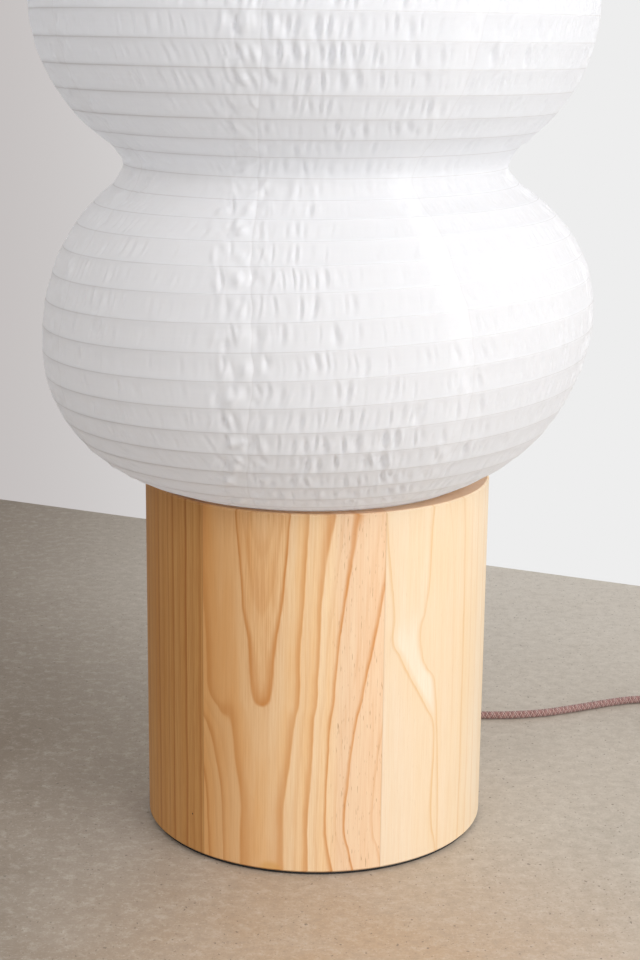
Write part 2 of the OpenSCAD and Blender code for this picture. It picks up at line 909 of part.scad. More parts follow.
// Domed nut with finger flutes
module finial() {
    rim_h = finial_h * 0.55;
    dome = finial_d / 2 - 1;
    squash = finial_h - rim_h;
    color([0.78, 0.78, 0.79])
        translate([0, 0, strap_z + strap_t + slip])
            difference() {
                rotate_extrude()
                    polygon(concat(
                        [[0, 0], [dome, 0], [finial_d / 2, 1], [finial_d / 2, rim_h - 1]],
                        [for (a = [0:10:90]) [dome * cos(a), rim_h + squash * sin(a)]]
                    ));
                translate([0, 0, -1])
                    cylinder(r = stud_d / 2 + 0.08, h = finial_h - 2);
                for (a = [0:30:330])
                    rotate([0, 0, a])
                        translate([finial_d / 2 + 1, 0, -1])
                            cylinder(r = 2, h = rim_h + 1);
            }
}

// ---- cord, coil and plug ----

// The coil winds in, climbs a layer in the half turn where it reverses, and winds out again.
// t counts turns from the middle of the cord's run.
function coil_r(t) =
    coil_end_r - coil_pitch * (coil_turns / 2 - (abs(t) < 0.25 ? 2 * t * t + 0.125 : abs(t)));
function coil_z(t) =
    t <= -0.25 ? 0 : t >= 0.25 ? coil_layer : coil_layer * pow(t * 2 + 0.5, 2) * (3 - 2 * (t * 2 + 0.5));
function coil_point(t) =
    let (a = 360 * (t + coil_turns / 2) + 180)
    coil_at + [coil_r(t) * cos(a), coil_r(t) * sin(a), coil_z(t)];
coil_steps = coil_turns * coil_rings;
coil_route = concat(
    [coil_at + [-coil_end_r, cord_d, 0]],
    [for (k = [0:coil_steps]) coil_point(k / coil_rings - coil_turns / 2)],
    [coil_at + [coil_end_r, cord_d, coil_layer]]
);

// Least distance between two stretches of the coil's surface
function coil_gap() =
    min([
        for (j = [1:coil_steps - 1])
            for (k = [j + coil_rings / 2:coil_steps])
                norm(coil_route[j] - coil_route[k])
    ]) - cord_d;

module cord_lead() {
    color([0.55, 0.40, 0.38])
        swept_tube(lead_route, cord_r, 10);
}

module cord_link() {
    color([0.55, 0.40, 0.38])
        swept_tube(link_route, cord_r, 10);
}

module cord_coil() {
    color([0.55, 0.40, 0.38])
        swept_tube(coil_route, cord_r, 6);
}

module cord_tail() {
    color([0.55, 0.40, 0.38])
        swept_tube(tail_route, cord_r, 10);
}

// The plug's frame: the cord comes in at the origin and the blades point along X
module at_plug() {
    translate(plug_at)
        rotate([0, 0, 90])
            children();
}

module blade(grow) {
    translate([plug_tail + plug_len - blade_root, -blade_t / 2, plug_cord_z - blade_w / 2])
        cube([blade_root + grow, blade_t, blade_w]);
}

module plug_body() {
    shoulder = 5;
    color([0.90, 0.90, 0.88])
        at_plug()
            difference() {
                union() {
                    translate([plug_tail, -plug_w / 2, 0])
                        translate([0, plug_w, 0])
                            rotate([90, 0, 0])
                                linear_extrude(height = plug_w)
                                    polygon([
                                        [0, 3], [shoulder, 0], [plug_len, 0], [plug_len, plug_h],
                                        [shoulder, plug_h], [0, plug_h - 3]
                                    ]);
                    translate([0, 0, plug_cord_z])
                        rotate([0, 90, 0])
                            cylinder(r1 = cord_r + 0.8, r2 = cord_r + 3, h = plug_tail);
                }
                for (side = [-1, 1]) {
                    translate([0, side * blade_apart / 2, 0])
                        blade(1);
                    // finger hollow in each side
                    translate([plug_tail + plug_len / 2, side * (plug_w / 2 + finger_r - finger_depth), -1])
                        cylinder(r = finger_r, h = plug_h + 2);
                }
            }
}

module plug_blades() {
    color([0.85, 0.70, 0.40])
        at_plug()
            for (side = [-1, 1])
                translate([0, side * blade_apart / 2, 0])
                    difference() {
                        blade(blade_l);
                        translate([plug_tail + plug_len + blade_l - 4, -blade_t, plug_cord_z])
                            rotate([-90, 0, 0])
                                cylinder(r = 1.6, h = 2 * blade_t);
                    }
}

// ---- foot switch ----

// The switch's frame: its length along X, with the cord coming in at -X
module at_switch() {
    translate(switch_at)
        rotate([0, 0, -90])
            children();
}

module switch_boots() {
    for (side = [0, 180])
        rotate([0, 0, side])
            translate([switch_len / 2 - 3, 0, switch_cord_z])
                rotate([0, 90, 0])
                    cylinder(r1 = cord_r + 3, r2 = cord_r + 1, h = switch_boot + 3);
}

module at_switch_screws() {
    for (side = [-1, 1])
        translate([side * boss_x, side * boss_y, 0])
            children();
}

// Lower half: a tray with the cord's two sleeves
module switch_base() {
    half = switch_w / 2;
    color([0.92, 0.92, 0.90])
        at_switch()
            difference() {
                union() {
                    difference() {
                        obround(switch_len, [[half - 1.5, 0], [half, 1.5], [half, switch_split]]);
                        translate([0, 0, switch_wall])
                            obround(
                                switch_len - 2 * switch_wall,
                                [[half - switch_wall, 0], [half - switch_wall, switch_split]]
                            );
                    }
                    switch_boots();
                }
                translate([0, 0, switch_cord_z])
                    lead_along_x(-switch_end - 1, switch_end + 1, cord_r - 0.5);
                translate([0, 0, switch_split])
                    translate([-switch_len / 2, -half, 0])
                        cube([switch_len, switch_w, switch_split]);
                at_switch_screws()
                    switch_screw(screw_play);
            }
}

// Screw let into the underside, flush with it
module switch_screw(play) {
    head = 1.2;
    translate([0, 0, -play])
        cylinder(r = 2.8 + play, h = head + 2 * play);
    translate([0, 0, -play])
        cylinder(r = 1.4 + play, h = switch_screw_len + 2 * play);
}

// Upper half: a domed cover with the button's hole and two screw bosses
module switch_cover() {
    half = switch_w / 2;
    inner = half - switch_wall;
    roof = switch_h - switch_wall;
    color([0.92, 0.92, 0.90])
        at_switch()
            difference() {
                union() {
                    difference() {
                        obround(switch_len, [
                            [half, switch_split], [half, switch_h - 8], [half - 1.2, switch_h - 4],
                            [half - 4, switch_h - 1.2], [half - 8, switch_h]
                        ]);
                        obround(switch_len - 2 * switch_wall, [
                            [inner, switch_split - 1], [inner, roof - 6], [inner - 1.2, roof - 2.5],
                            [max(inner - 2.6, button_skirt_r + 0.4), roof]
                        ]);
                    }
                    at_switch_screws() {
                        translate([0, 0, switch_wall])
                            cylinder(r = boss_r - 0.5, h = roof + 1 - switch_wall);
                        translate([0, 0, switch_split])
                            cylinder(r = boss_r, h = roof + 1 - switch_split);
                    }
                }
                translate([0, 0, switch_split - 1])
                    cylinder(r = button_hole_r, h = switch_h);
                translate([0, 0, switch_cord_z])
                    lead_along_x(-switch_end, switch_end, cord_r + 3 + slip);
                at_switch_screws()
                    switch_screw(screw_play);
            }
}

module switch_screws() {
    color([0.72, 0.70, 0.62])
        at_switch()
            at_switch_screws()
                union() {
                    switch_screw(0);
                }
}

// Coil spring under the button, ground off by lying flat on the tray
module switch_spring() {
    wire = 0.6;
    height = skirt_z - spring_floor - 2 * wire - 0.1;
    path = [
        for (k = [0:spring_turns * 8])
            let (a = k * 45)
            [spring_r * cos(a), spring_r * sin(a), spring_floor + wire + height * k / (spring_turns * 8)]
    ];
    color([0.75, 0.75, 0.76])
        at_switch()
            swept_tube(path, wire, 6);
}

module foot_button() {
    r = button_d / 2;
    color([0.92, 0.92, 0.90])
        at_switch()
            rotate_extrude()
                polygon([
                    [0, skirt_z], [button_skirt_r, skirt_z], [button_skirt_r, skirt_z + button_skirt_t - 0.3],
                    [r, skirt_z + button_skirt_t - 0.3], [r, button_top - 1.5], [r - 0.5, button_top - 0.5],
                    [r - 2, button_top], [r - 5, button_top - 0.6], [0, button_top - 1]
                ]);
}

// ---- the assembly ----

for (i = [1:stave_count])
    stave(i);
top_board();
bottom_board();
base_screws();
ballast_plate();
ballast_screws();
foot_pad();
cord_gland();
base_lead();
cord_clip();
clip_screws();
pole_flange();
flange_screws();
set_screws();
pole();
pole_stud();
pole_cable();
holder_leads();
for (i = [1:bubble_count]) {
    lamp_bracket(i);
    lampholder(i);
    bulb(i);
}
holder_inserts();
holder_nuts();
bulb_caps();
for (i = [1:gore_count])
    gore(i);
rib_hoops();
bottom_ring();
top_ring();
top_strap();
finial();
cord_lead();
cord_link();
cord_coil();
cord_tail();
plug_body();
plug_blades();
switch_base();
switch_cover();
switch_screws();
switch_spring();
foot_button();
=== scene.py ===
import json
import math
import bpy
import numpy as np
from mathutils import Matrix, Vector


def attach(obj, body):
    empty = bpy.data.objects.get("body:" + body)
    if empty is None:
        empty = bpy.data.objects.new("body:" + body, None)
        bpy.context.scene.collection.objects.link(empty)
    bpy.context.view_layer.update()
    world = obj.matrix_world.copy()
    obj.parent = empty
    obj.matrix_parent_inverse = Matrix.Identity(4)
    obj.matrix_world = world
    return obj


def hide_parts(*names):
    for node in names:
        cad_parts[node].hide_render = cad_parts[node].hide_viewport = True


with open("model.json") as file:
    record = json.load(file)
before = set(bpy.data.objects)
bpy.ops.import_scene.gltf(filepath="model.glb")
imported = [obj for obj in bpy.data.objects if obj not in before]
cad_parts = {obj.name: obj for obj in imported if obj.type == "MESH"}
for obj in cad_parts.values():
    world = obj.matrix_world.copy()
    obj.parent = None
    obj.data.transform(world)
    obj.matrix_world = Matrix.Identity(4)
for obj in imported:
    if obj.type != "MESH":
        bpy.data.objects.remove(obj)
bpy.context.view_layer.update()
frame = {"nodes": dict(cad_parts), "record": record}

nodes = frame["nodes"]
print("frame loaded:", len(nodes), "nodes")

# the camera: its place in metres and how it is turned
cameraSettings = {
    "place": (0.0002, -1.4048, 0.6196),
    "down": 13.8,      # degrees below the horizon
    "pan": 0.08,       # degrees to the right
    "roll": 0.61,      # degrees, clockwise as the viewer sees it
    "lens": 68.66,     # mm
    "longSide": 36,    # mm, the picture's long side behind that lens
    "clip": (0.05, 60),
}


def makeCamera(c):
    pan, down, roll = (math.radians(c[k]) for k in ("pan", "down", "roll"))
    forward = Vector((math.sin(pan) * math.cos(down), math.cos(pan) * math.cos(down), -math.sin(down)))
    right = Vector((math.cos(pan), -math.sin(pan), 0))
    up = right.cross(forward)
    turnedRight = math.cos(roll) * right + math.sin(roll) * up
    turnedUp = -math.sin(roll) * right + math.cos(roll) * up
    data = bpy.data.cameras.new("camera")
    data.sensor_width = c["longSide"]
    data.lens = c["lens"]
    data.clip_start, data.clip_end = c["clip"]
    camera = bpy.data.objects.new("camera", data)
    bpy.context.scene.collection.objects.link(camera)
    turn = Matrix((turnedRight, turnedUp, -forward)).transposed().to_4x4()
    camera.matrix_world = Matrix.Translation(c["place"]) @ turn
    bpy.context.scene.camera = camera


makeCamera(cameraSettings)
print("camera set")


# a mesh from points and four-sided faces; each of the maps holds u and v for every point
def meshFrom(name, points, quads, maps=None, smooth=True):
    mesh = bpy.data.meshes.new(name)
    mesh.from_pydata(np.asarray(points, float).reshape(-1, 3).tolist(), [], np.asarray(quads).tolist())
    mesh.polygons.foreach_set("use_smooth", np.full(len(mesh.polygons), smooth))
    corner = np.zeros(len(mesh.loops), np.int32)
    mesh.loops.foreach_get("vertex_index", corner)
    for label, uv in (maps or {}).items():
        layer = mesh.uv_layers.new(name=label)
        layer.data.foreach_set("uv", np.asarray(uv, np.float32).reshape(-1, 2)[corner].ravel())
    mesh.update()
    piece = bpy.data.objects.new(name, mesh)
    bpy.context.scene.collection.objects.link(piece)
    return piece


def wear(piece, material):
    piece.data.materials.clear()
    piece.data.materials.append(material)


# quads of a grid of rows x columns points; closed joins the last column to the first
def gridQuads(rows, columns, closed=False, start=0):
    across = columns if closed else columns - 1
    r, c = np.meshgrid(np.arange(rows - 1), np.arange(across), indexing="ij")
    here, there = r * columns + c, r * columns + (c + 1) % columns
    return start + np.stack([here, there, there + columns, here + columns], -1).reshape(-1, 4)


# a smooth curve through points: on each span, the cubic whose slopes are half the chord to the neighbours
def smoothPath(points, step):
    p = np.asarray(points, float)
    p = np.vstack([2 * p[0] - p[1], p, 2 * p[-1] - p[-2]])
    out = []
    for a, b, c, d in zip(p, p[1:], p[2:], p[3:]):
        count = max(int(np.linalg.norm(c - b) / step), 1)
        t = (np.arange(count) / count)[:, None]
        cubic = (2 * b + (c - a) * t + (2 * a - 5 * b + 4 * c - d) * t**2
                 + (3 * b - a - 3 * c + d) * t**3)
        out.append(0.5 * cubic)
    return np.vstack(out + [p[-2:-1]])


# a round tube: at each point of the path, a circle square to the path and kept level by the vertical;
# u runs round it, and v along it in metres
def tubeAlong(name, path, radius, sides):
    path = np.asarray(path, float)
    way = np.gradient(path, axis=0)
    way /= np.linalg.norm(way, axis=1)[:, None]
    side = np.cross(way, [0, 0, 1.0])
    side /= np.linalg.norm(side, axis=1)[:, None]
    top = np.cross(side, way)
    angle = np.linspace(0, 2 * np.pi, sides + 1)[None, :, None]
    rings = path[:, None] + radius * (np.cos(angle) * side[:, None] + np.sin(angle) * top[:, None])
    along = np.r_[0, np.cumsum(np.linalg.norm(np.diff(path, axis=0), axis=1))]
    uv = np.stack(np.broadcast_arrays(np.linspace(0, 1, sides + 1)[None], along[:, None]), -1)
    quads = gridQuads(len(path), sides + 1)[:, ::-1].tolist()
    return meshFrom(name, rings, quads, {"surface": uv}), along[-1]


# the cord, on the drawing's route: metres for its thickness and step, millimetres for the route
cordSettings = {
    "diameter": 0.007,
    "sides": 18,
    "step": 0.0016,          # from one circle of the tube to the next
    "glandTurn": 81.75,      # where it leaves the drum, in degrees from X
    "glandTip": 161.13,
    "glandHeight": 24,
    "straight": 14,          # how far it runs straight out of the gland
    "coilAt": (404, 30, 3.5),
    "coilTurns": 5.5,
    "coilPitch": 7.8,        # from one turn to the next
    "coilLayer": 7.6,        # from the lower layer to the upper one
    "coilCore": 27.5,        # radius of the coil's core
    "toSwitch": [
        (28, 188, 21.5), (33, 201, 15.5), (43, 210, 8.5), (58, 214, 4.2), (76, 213, 3.5), (97, 208, 3.5),
        (118, 202, 3.5), (138, 197, 3.5), (156, 195, 3.5), (176, 195.5, 3.5), (194, 198, 3.5),
        (212, 202, 3.5), (233, 210, 3.5), (255, 220, 3.5), (270, 227, 3.5), (285, 233.5, 3.5),
        (298, 238, 3.5), (311, 240.5, 3.5), (325, 239, 3.5), (339, 232, 3.7), (349, 220, 4.7),
        (354, 208, 6.9), (355, 198, 8), (355, 194, 8),
    ],
    "throughSwitch": [(355, 172, 8), (355, 151, 8), (355, 130, 8), (355, 109, 8), (355, 88, 8)],
    "toCoil": [
        (355, 66, 8), (355, 63, 8), (355, 57.5, 7.5), (355, 51.5, 5.7), (355, 45.5, 4), (355.05, 40, 3.5),
    ],
    "toPlug": [
        (452.95, 40, 11.1), (453, 52, 10.3), (452, 66, 7.2), (449, 82, 4.2), (444, 98, 3.8),
        (437, 112, 6), (431, 123, 9), (430, 131, 9.5), (430, 134, 9.5),
    ],
}


# the coil winds in, climbs a layer in the half turn where it reverses, and winds out again;
# a parabola rounds off the reversal, where the turns are counted down to nothing and up again
def coilPath(c, perTurn=48):
    t = np.arange(int(c["coilTurns"] * perTurn) + 1) / perTurn - c["coilTurns"] / 2
    turned = np.where(abs(t) < 0.25, 2 * t * t + 0.125, abs(t))
    radius = c["coilCore"] + c["coilPitch"] * turned
    climb = np.clip(t * 2 + 0.5, 0, 1)
    z = c["coilLayer"] * climb**2 * (3 - 2 * climb)
    angle = 2 * np.pi * (t + c["coilTurns"] / 2) + np.pi
    loops = np.stack([radius * np.cos(angle), radius * np.sin(angle), z], -1)
    ends = loops[[0, -1]] + [0, 1000 * c["diameter"], 0]
    return np.vstack([ends[:1], loops, ends[1:]]) + c["coilAt"]


def makeCord(c):
    turn = math.radians(c["glandTurn"])
    out = np.array([math.cos(turn), math.sin(turn), 0])
    up = (0, 0, c["glandHeight"])
    first = [out * c["glandTip"] + up, out * (c["glandTip"] + c["straight"]) + up]
    coil = coilPath(c)
    route = np.vstack([first, c["toSwitch"], c["throughSwitch"], c["toCoil"], coil, c["toPlug"]]) / 1000
    path = smoothPath(route, c["step"])
    cord, length = tubeAlong("cord", path, c["diameter"] / 2, c["sides"])
    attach(cord, "root")
    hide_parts("cord_lead", "cord_link", "cord_coil", "cord_tail")
    print("cord made: %.3f m" % length)
    return cord


cord = makeCord(cordSettings)


# places a node; an input is a value or another node's socket
def addNode(tree, kind, inputs=None, **settings):
    node = tree.nodes.new(kind)
    for key, value in settings.items():
        setattr(node, key, value)
    for key, value in (inputs or {}).items():
        socket = node.inputs[key]
        if isinstance(value, bpy.types.NodeSocket):
            tree.links.new(value, socket)
        else:
            socket.default_value = value
    return node


def maths(tree, operation, a, b=0.0, c=0.0, clamp=False):
    node = addNode(tree, "ShaderNodeMath", {0: a, 1: b, 2: c}, operation=operation, use_clamp=clamp)
    return node.outputs[0]


# carries a value from one range to another, held at the ends
def remap(tree, value, fromLow, fromHigh, toLow=0.0, toHigh=1.0, smooth=False):
    node = addNode(tree, "ShaderNodeMapRange", {0: value, 1: fromLow, 2: fromHigh, 3: toLow, 4: toHigh},
                   interpolation_type="SMOOTHSTEP" if smooth else "LINEAR")
    return node.outputs[0]


def mixColour(tree, factor, a, b, blend="MIX"):
    node = addNode(tree, "ShaderNodeMix", data_type="RGBA", blend_type=blend)
    for key, value in ((0, factor), (6, a), (7, b)):
        if isinstance(value, bpy.types.NodeSocket):
            tree.links.new(value, node.inputs[key])
        elif key == 0:
            node.inputs[0].default_value = value
        else:
            node.inputs[key].default_value = (*value[:3], 1)
    return node.outputs[2]


def noiseOf(tree, vector, scale, detail=2.0, rough=0.5, distortion=0.0):
    node = addNode(tree, "ShaderNodeTexNoise", {"Vector": vector, "Scale": scale, "Detail": detail,
                                               "Roughness": rough, "Distortion": distortion})
    return node.outputs["Fac"]


def mapped(tree, vector, location=(0, 0, 0), rotation=(0, 0, 0), scale=(1, 1, 1)):
    node = addNode(tree, "ShaderNodeMapping", {"Vector": vector, "Location": location, "Rotation": rotation,
                                              "Scale": scale})
    return node.outputs[0]


def objectPlace(tree):
    return addNode(tree, "ShaderNodeTexCoord").outputs["Object"]


def surfacePlace(tree):
    return addNode(tree, "ShaderNodeUVMap", uv_map="surface").outputs["UV"]


def splitPlace(tree, vector):
    return addNode(tree, "ShaderNodeSeparateXYZ", {0: vector}).outputs


# a material with one Principled shader; plain values are set on its own sockets
def newMaterial(name, plain):
    material = bpy.data.materials.new(name)
    material.use_nodes = True
    tree = material.node_tree
    tree.nodes.clear()
    shader = addNode(tree, "ShaderNodeBsdfPrincipled", plain)
    out = addNode(tree, "ShaderNodeOutputMaterial", {"Surface": shader.outputs[0]})
    return material, tree, shader, out


def bumpInto(tree, shader, height, strength, distance):
    bump = addNode(tree, "ShaderNodeBump", {"Height": height, "Strength": strength, "Distance": distance})
    tree.links.new(bump.outputs[0], shader.inputs["Normal"])


def newGroup(name, inputs, outputs):
    tree = bpy.data.node_groups.new(name, "ShaderNodeTree")
    for label, kind, value in inputs:
        socket = tree.interface.new_socket(name=label, in_out="INPUT", socket_type=kind)
        if value is not None:
            socket.default_value = value
    for label, kind in outputs:
        tree.interface.new_socket(name=label, in_out="OUTPUT", socket_type=kind)
    return tree, tree.nodes.new("NodeGroupInput").outputs, tree.nodes.new("NodeGroupOutput").inputs


def placeGroup(tree, group, inputs):
    node = tree.nodes.new("ShaderNodeGroup")
    node.node_tree = group
    for key, value in inputs.items():
        if isinstance(value, bpy.types.NodeSocket):
            tree.links.new(value, node.inputs[key])
        else:
            node.inputs[key].default_value = value
    return node.outputs


def link(tree, source, target):
    tree.links.new(source, target)


# what the grain of every pine board and stave shares
grainLook = {
    # how fine each pattern is: repeats in a metre through the plank, across it and along it
    "fibres": (1100, 1100, 24),
    "streaks": (210, 210, 5),
    "pores": (1150, 1150, 130),
    "clouds": (38, 38, 9),
    "fleck": (0.36, 0.17, 0.07),
}


# pine grain: warmth grows from each dark line to the next; the lines themselves are given as a mask
def makePineGroup(c):
    floatKind, colourKind, vectorKind = "NodeSocketFloat", "NodeSocketColor", "NodeSocketVector"
    tree, given, result = newGroup("pine grain", [
        ("Place", vectorKind, None),           # metres: x through the plank, y across it, z along it
        ("Line", floatKind, 0.0),
        ("Warmth", floatKind, 0.0),
        ("Line Strength", floatKind, 0.75),
        ("Fibres", floatKind, 0.15),
        ("Flecks", floatKind, 0.2),
        ("Pale", colourKind, (0.9, 0.7, 0.45, 1)),
        ("Warm", colourKind, (0.85, 0.6, 0.33, 1)),
        ("Dark", colourKind, (0.7, 0.4, 0.2, 1)),
    ], [("Colour", colourKind), ("Height", floatKind)])
    # fine fibres and short pores along the grain, and broad cloudiness
    place = given["Place"]
    fibre = noiseOf(tree, mapped(tree, place, scale=c["fibres"]), 1.0, 3.0, 0.65)
    streak = noiseOf(tree, mapped(tree, place, location=(5, 2, 1), scale=c["streaks"]), 1.0, 3.0, 0.55)
    pores = noiseOf(tree, mapped(tree, place, location=(3, 1, 2), scale=c["pores"]), 1.0, 1.0)
    flecks = remap(tree, pores, 0.67, 0.75)
    cloudy = noiseOf(tree, mapped(tree, place, scale=c["clouds"]), 1.0, 4.0, 0.6)
    warmth = maths(tree, "MULTIPLY", given["Warmth"], remap(tree, cloudy, 0.3, 0.7, 0.45, 1.15))
    warmth = maths(tree, "ADD", warmth, remap(tree, streak, 0.42, 0.72, -0.04, 0.24), clamp=True)
    colour = mixColour(tree, warmth, given["Pale"], given["Warm"])
    broken = maths(tree, "MULTIPLY", given["Line"], remap(tree, streak, 0.35, 0.65, 0.72, 1.0))
    colour = mixColour(tree, maths(tree, "MULTIPLY", broken, given["Line Strength"]), colour, given["Dark"])
    fuzz = maths(tree, "MULTIPLY", remap(tree, fibre, 0.60, 0.36), given["Fibres"])
    colour = mixColour(tree, fuzz, colour, given["Dark"])
    colour = mixColour(tree, maths(tree, "MULTIPLY", flecks, given["Flecks"]), colour, c["fleck"])
    link(tree, colour, result["Colour"])
    height = maths(tree, "MULTIPLY_ADD", given["Line"], 0.5, maths(tree, "MULTIPLY", fibre, 0.5))
    link(tree, height, result["Height"])
    return tree


# uneven surface: broad cloudiness and a fine grain, each from 0 to 1
def makeSurfaceGroup():
    tree, given, result = newGroup("surface grain", [
        ("Place", "NodeSocketVector", None), ("Broad Scale", "NodeSocketFloat", 40.0),
        ("Fine Scale", "NodeSocketFloat", 1200.0),
    ], [("Broad", "NodeSocketFloat"), ("Fine", "NodeSocketFloat")])
    link(tree, noiseOf(tree, given["Place"], given["Broad Scale"], 3.0, 0.55), result["Broad"])
    link(tree, noiseOf(tree, given["Place"], given["Fine Scale"], 2.0, 0.6), result["Fine"])
    return tree


pineGroup, surfaceGroup = makePineGroup(grainLook), makeSurfaceGroup()
print("shared grain made")


# the drum's staves: places on them are in degrees to the viewer's right and in metres
drumRadius = 0.135
drumHeight = 0.282
perDegree = drumRadius * math.pi / 180
pineLook = {
    "frontHalf": 30.25,      # half the turn that the front stave takes up, in degrees
    "otherHalf": 29.95,
    "joint": (0.40, 0.20, 0.09),
    "jointStrength": 0.22,
    "endGrain": (0.62, 0.335, 0.185),
    "endStrength": 0.6,
    "fibres": {2: 0.18, 6: 0.32},
    "fewFibres": 0.10,       # on the other staves
    "flecks": 0.10,
}
staveLooks = {
    # turn of the stave's middle in the drawing, then pale, warm and dark wood, and the strength of the lines
    1: (261.75, (0.87, 0.650, 0.405), (0.83, 0.525, 0.255), (0.60, 0.255, 0.070), 1.0),
    # stave 2, on the lit right, is paler: partly its own tone, partly painted light
    2: (321.95, (0.80, 0.655, 0.485), (0.79, 0.605, 0.390), (0.69, 0.405, 0.160), 0.95),
    3: (21.85, (0.84, 0.650, 0.410), (0.81, 0.560, 0.300), (0.68, 0.370, 0.150), 0.75),
    4: (81.75, (0.83, 0.630, 0.390), (0.79, 0.530, 0.275), (0.66, 0.350, 0.135), 0.75),
    5: (141.65, (0.84, 0.640, 0.400), (0.80, 0.550, 0.290), (0.68, 0.370, 0.150), 0.75),
    # stave 6, on the shaded left, is darker and redder: partly its own tone, partly painted shade
    6: (201.55, (0.62, 0.325, 0.106), (0.57, 0.272, 0.076), (0.39, 0.130, 0.025), 0.85),
}
# the heart of the tree behind the other staves: across and deep in metres, how far it leans in each metre
# of height, and the width of a ring in metres
heartLooks = {
    3: (-0.010, -0.105, 0.13, 0.0060),
    4: (0.030, -0.095, 0.09, 0.0055),
    5: (-0.024, -0.100, -0.10, 0.0064),
}
frontGrain = {
    "heartTurn": -17,
    "waver": 0.0045,
    # depth of the heart behind the face at each height, in metres
    "heartDepth": [(0.0, 0.0315), (0.05, 0.0315), (0.09, 0.0285), (0.125, 0.0255), (0.14, 0.0222),
                   (0.18, 0.0205), (0.21, 0.0178), (0.245, 0.0142), (0.282, 0.0092)],
    # places far from the heart are squeezed: from where to where across the face each squeeze sets in
    "squeezes": {
        "leftSqueeze": (-0.021, -0.036),
        "farSqueeze": (0.040, 0.056),
        "edgeSqueeze": (0.057, 0.068),
    },
    # and how strong it is at each height
    "leftSqueeze": [(0.0, 1.13), (0.06, 1.05), (0.084, 0.96), (0.105, 0.87), (0.126, 0.70), (0.142, 0.62),
                    (0.282, 0.66)],
    "farSqueeze": [(0.0, 0.92), (0.02, 0.99), (0.05, 1.07), (0.12, 1.055), (0.17, 1.0), (0.21, 0.935),
                   (0.282, 0.85)],
    "edgeSqueeze": [(0.0, 1.07), (0.03, 1.05), (0.09, 1.0), (0.12, 0.96), (0.15, 0.925), (0.19, 0.90),
                    (0.282, 0.90)],
    # distance of each dark line from the heart, how far its inner side fades, both in metres, and strength
    "rings": [(0.0135, 0.0020, 0.20), (0.0180, 0.0030, 0.30), (0.0230, 0.0020, 1.0), (0.0355, 0.0042, 0.70),
              (0.0410, 0.0030, 0.15), (0.0470, 0.0036, 0.75), (0.0525, 0.0030, 0.22), (0.0597, 0.0030, 1.0),
              (0.0690, 0.0040, 0.12), (0.0770, 0.0030, 1.0), (0.0985, 0.0030, 0.35)],
    # warmth of the wood at each distance from the heart
    "warmth": [(0.0, 0.75), (0.022, 0.85), (0.0245, 0.35), (0.029, 0.75), (0.035, 1.0), (0.037, 0.30),
               (0.046, 0.75), (0.0485, 0.0), (0.052, 0.10), (0.0595, 0.60), (0.062, 0.35), (0.0765, 0.75),
               (0.079, 0.35), (0.11, 0.7)],
    "fibres": (0.0225, 0.027, 0.48, 0.20),     # distances from the heart, and strength at each
    # the wood is pinker on the right, and redder and darker on the shaded left, where shade is painted into
    # it: from which turn to which, and the colours
    "pinkTurn": (3.5, 9.0),
    "pinkWarm": (0.77, 0.500, 0.320),
    "pinkPale": (0.81, 0.615, 0.430),
    "paintedShadeTurn": (-40, -8),
    "paintedShadeWarm": (0.73, 0.335, 0.092),
    "paintedShadePale": (0.79, 0.425, 0.155),
    "resin": (-14, 0.004, 0.009, 0.006),       # a mark at the foot: turn, height and half its size
    "resinColour": (0.66, 0.33, 0.07),
}
rightGrain = {
    "waver": 0.003,
    # turn of each dark line at each height, its strength and how far its left side fades in metres
    "lines": [
        ([(0.0, 44.4), (0.009, 44.0), (0.031, 41.9), (0.09, 42.3), (0.107, 42.1), (0.123, 38.8),
          (0.136, 35.7), (0.152, 31.5), (0.171, 27.6), (0.184, 25.2), (0.2, 25.6), (0.232, 24.2),
          (0.257, 22.9), (0.282, 22.1)], 0.62, 0.0030),
        ([(0.0, 45.2), (0.09, 44.0), (0.112, 43.4), (0.143, 42.0), (0.157, 38.3), (0.172, 36.0),
          (0.184, 35.5), (0.2, 37.2), (0.224, 38.6), (0.252, 39.1), (0.282, 40.1)], 0.50, 0.0030),
        ([(0.0, 49.5), (0.123, 51.0), (0.282, 47.0)], 0.16, 0.0022),
        ([(0.0, 56.5), (0.123, 57.1), (0.282, 55.2)], 0.50, 0.0030),
        ([(0.0, 61.5), (0.123, 62.0), (0.282, 60.4)], 0.35, 0.0022),
        ([(0.0, 67.5), (0.282, 66.2)], 0.40, 0.0022),
        ([(0.0, 74.5), (0.282, 74.0)], 0.35, 0.0022),
    ],
    # the pale flame: how strong it is at each height, and its colour
    "flame": [(0.0, 0.1), (0.1, 0.25), (0.14, 1.0), (0.17, 1.0), (0.21, 0.35), (0.282, 0.2)],
    "flameColour": (0.84, 0.745, 0.60),
    "paintedLightTurn": (46, 72),     # painted light: towards the lit right the wood gets paler
    "paintedLightColour": (0.82, 0.735, 0.61),
}
leftGrain = {
    "waver": 0.0022,
    "soft": 0.0032,
    # turn and strength of the straight lines
    "lines": [(-94, 0.4), (-89, 0.5), (-84, 0.35), (-79.5, 0.5), (-75, 0.9), (-70.5, 0.35), (-66.5, 0.5),
              (-63, 0.9), (-59.5, 0.3), (-56, 0.5), (-53, 0.9), (-49.5, 0.35), (-46, 1.0), (-42.8, 0.4),
              (-39.6, 0.8)],
    "mark": (-43.7, 0.033, 0.0007, 0.0008),      # a dark speck: turn, height and half its size
    "markColour": (0.05, 0.025, 0.015),
}


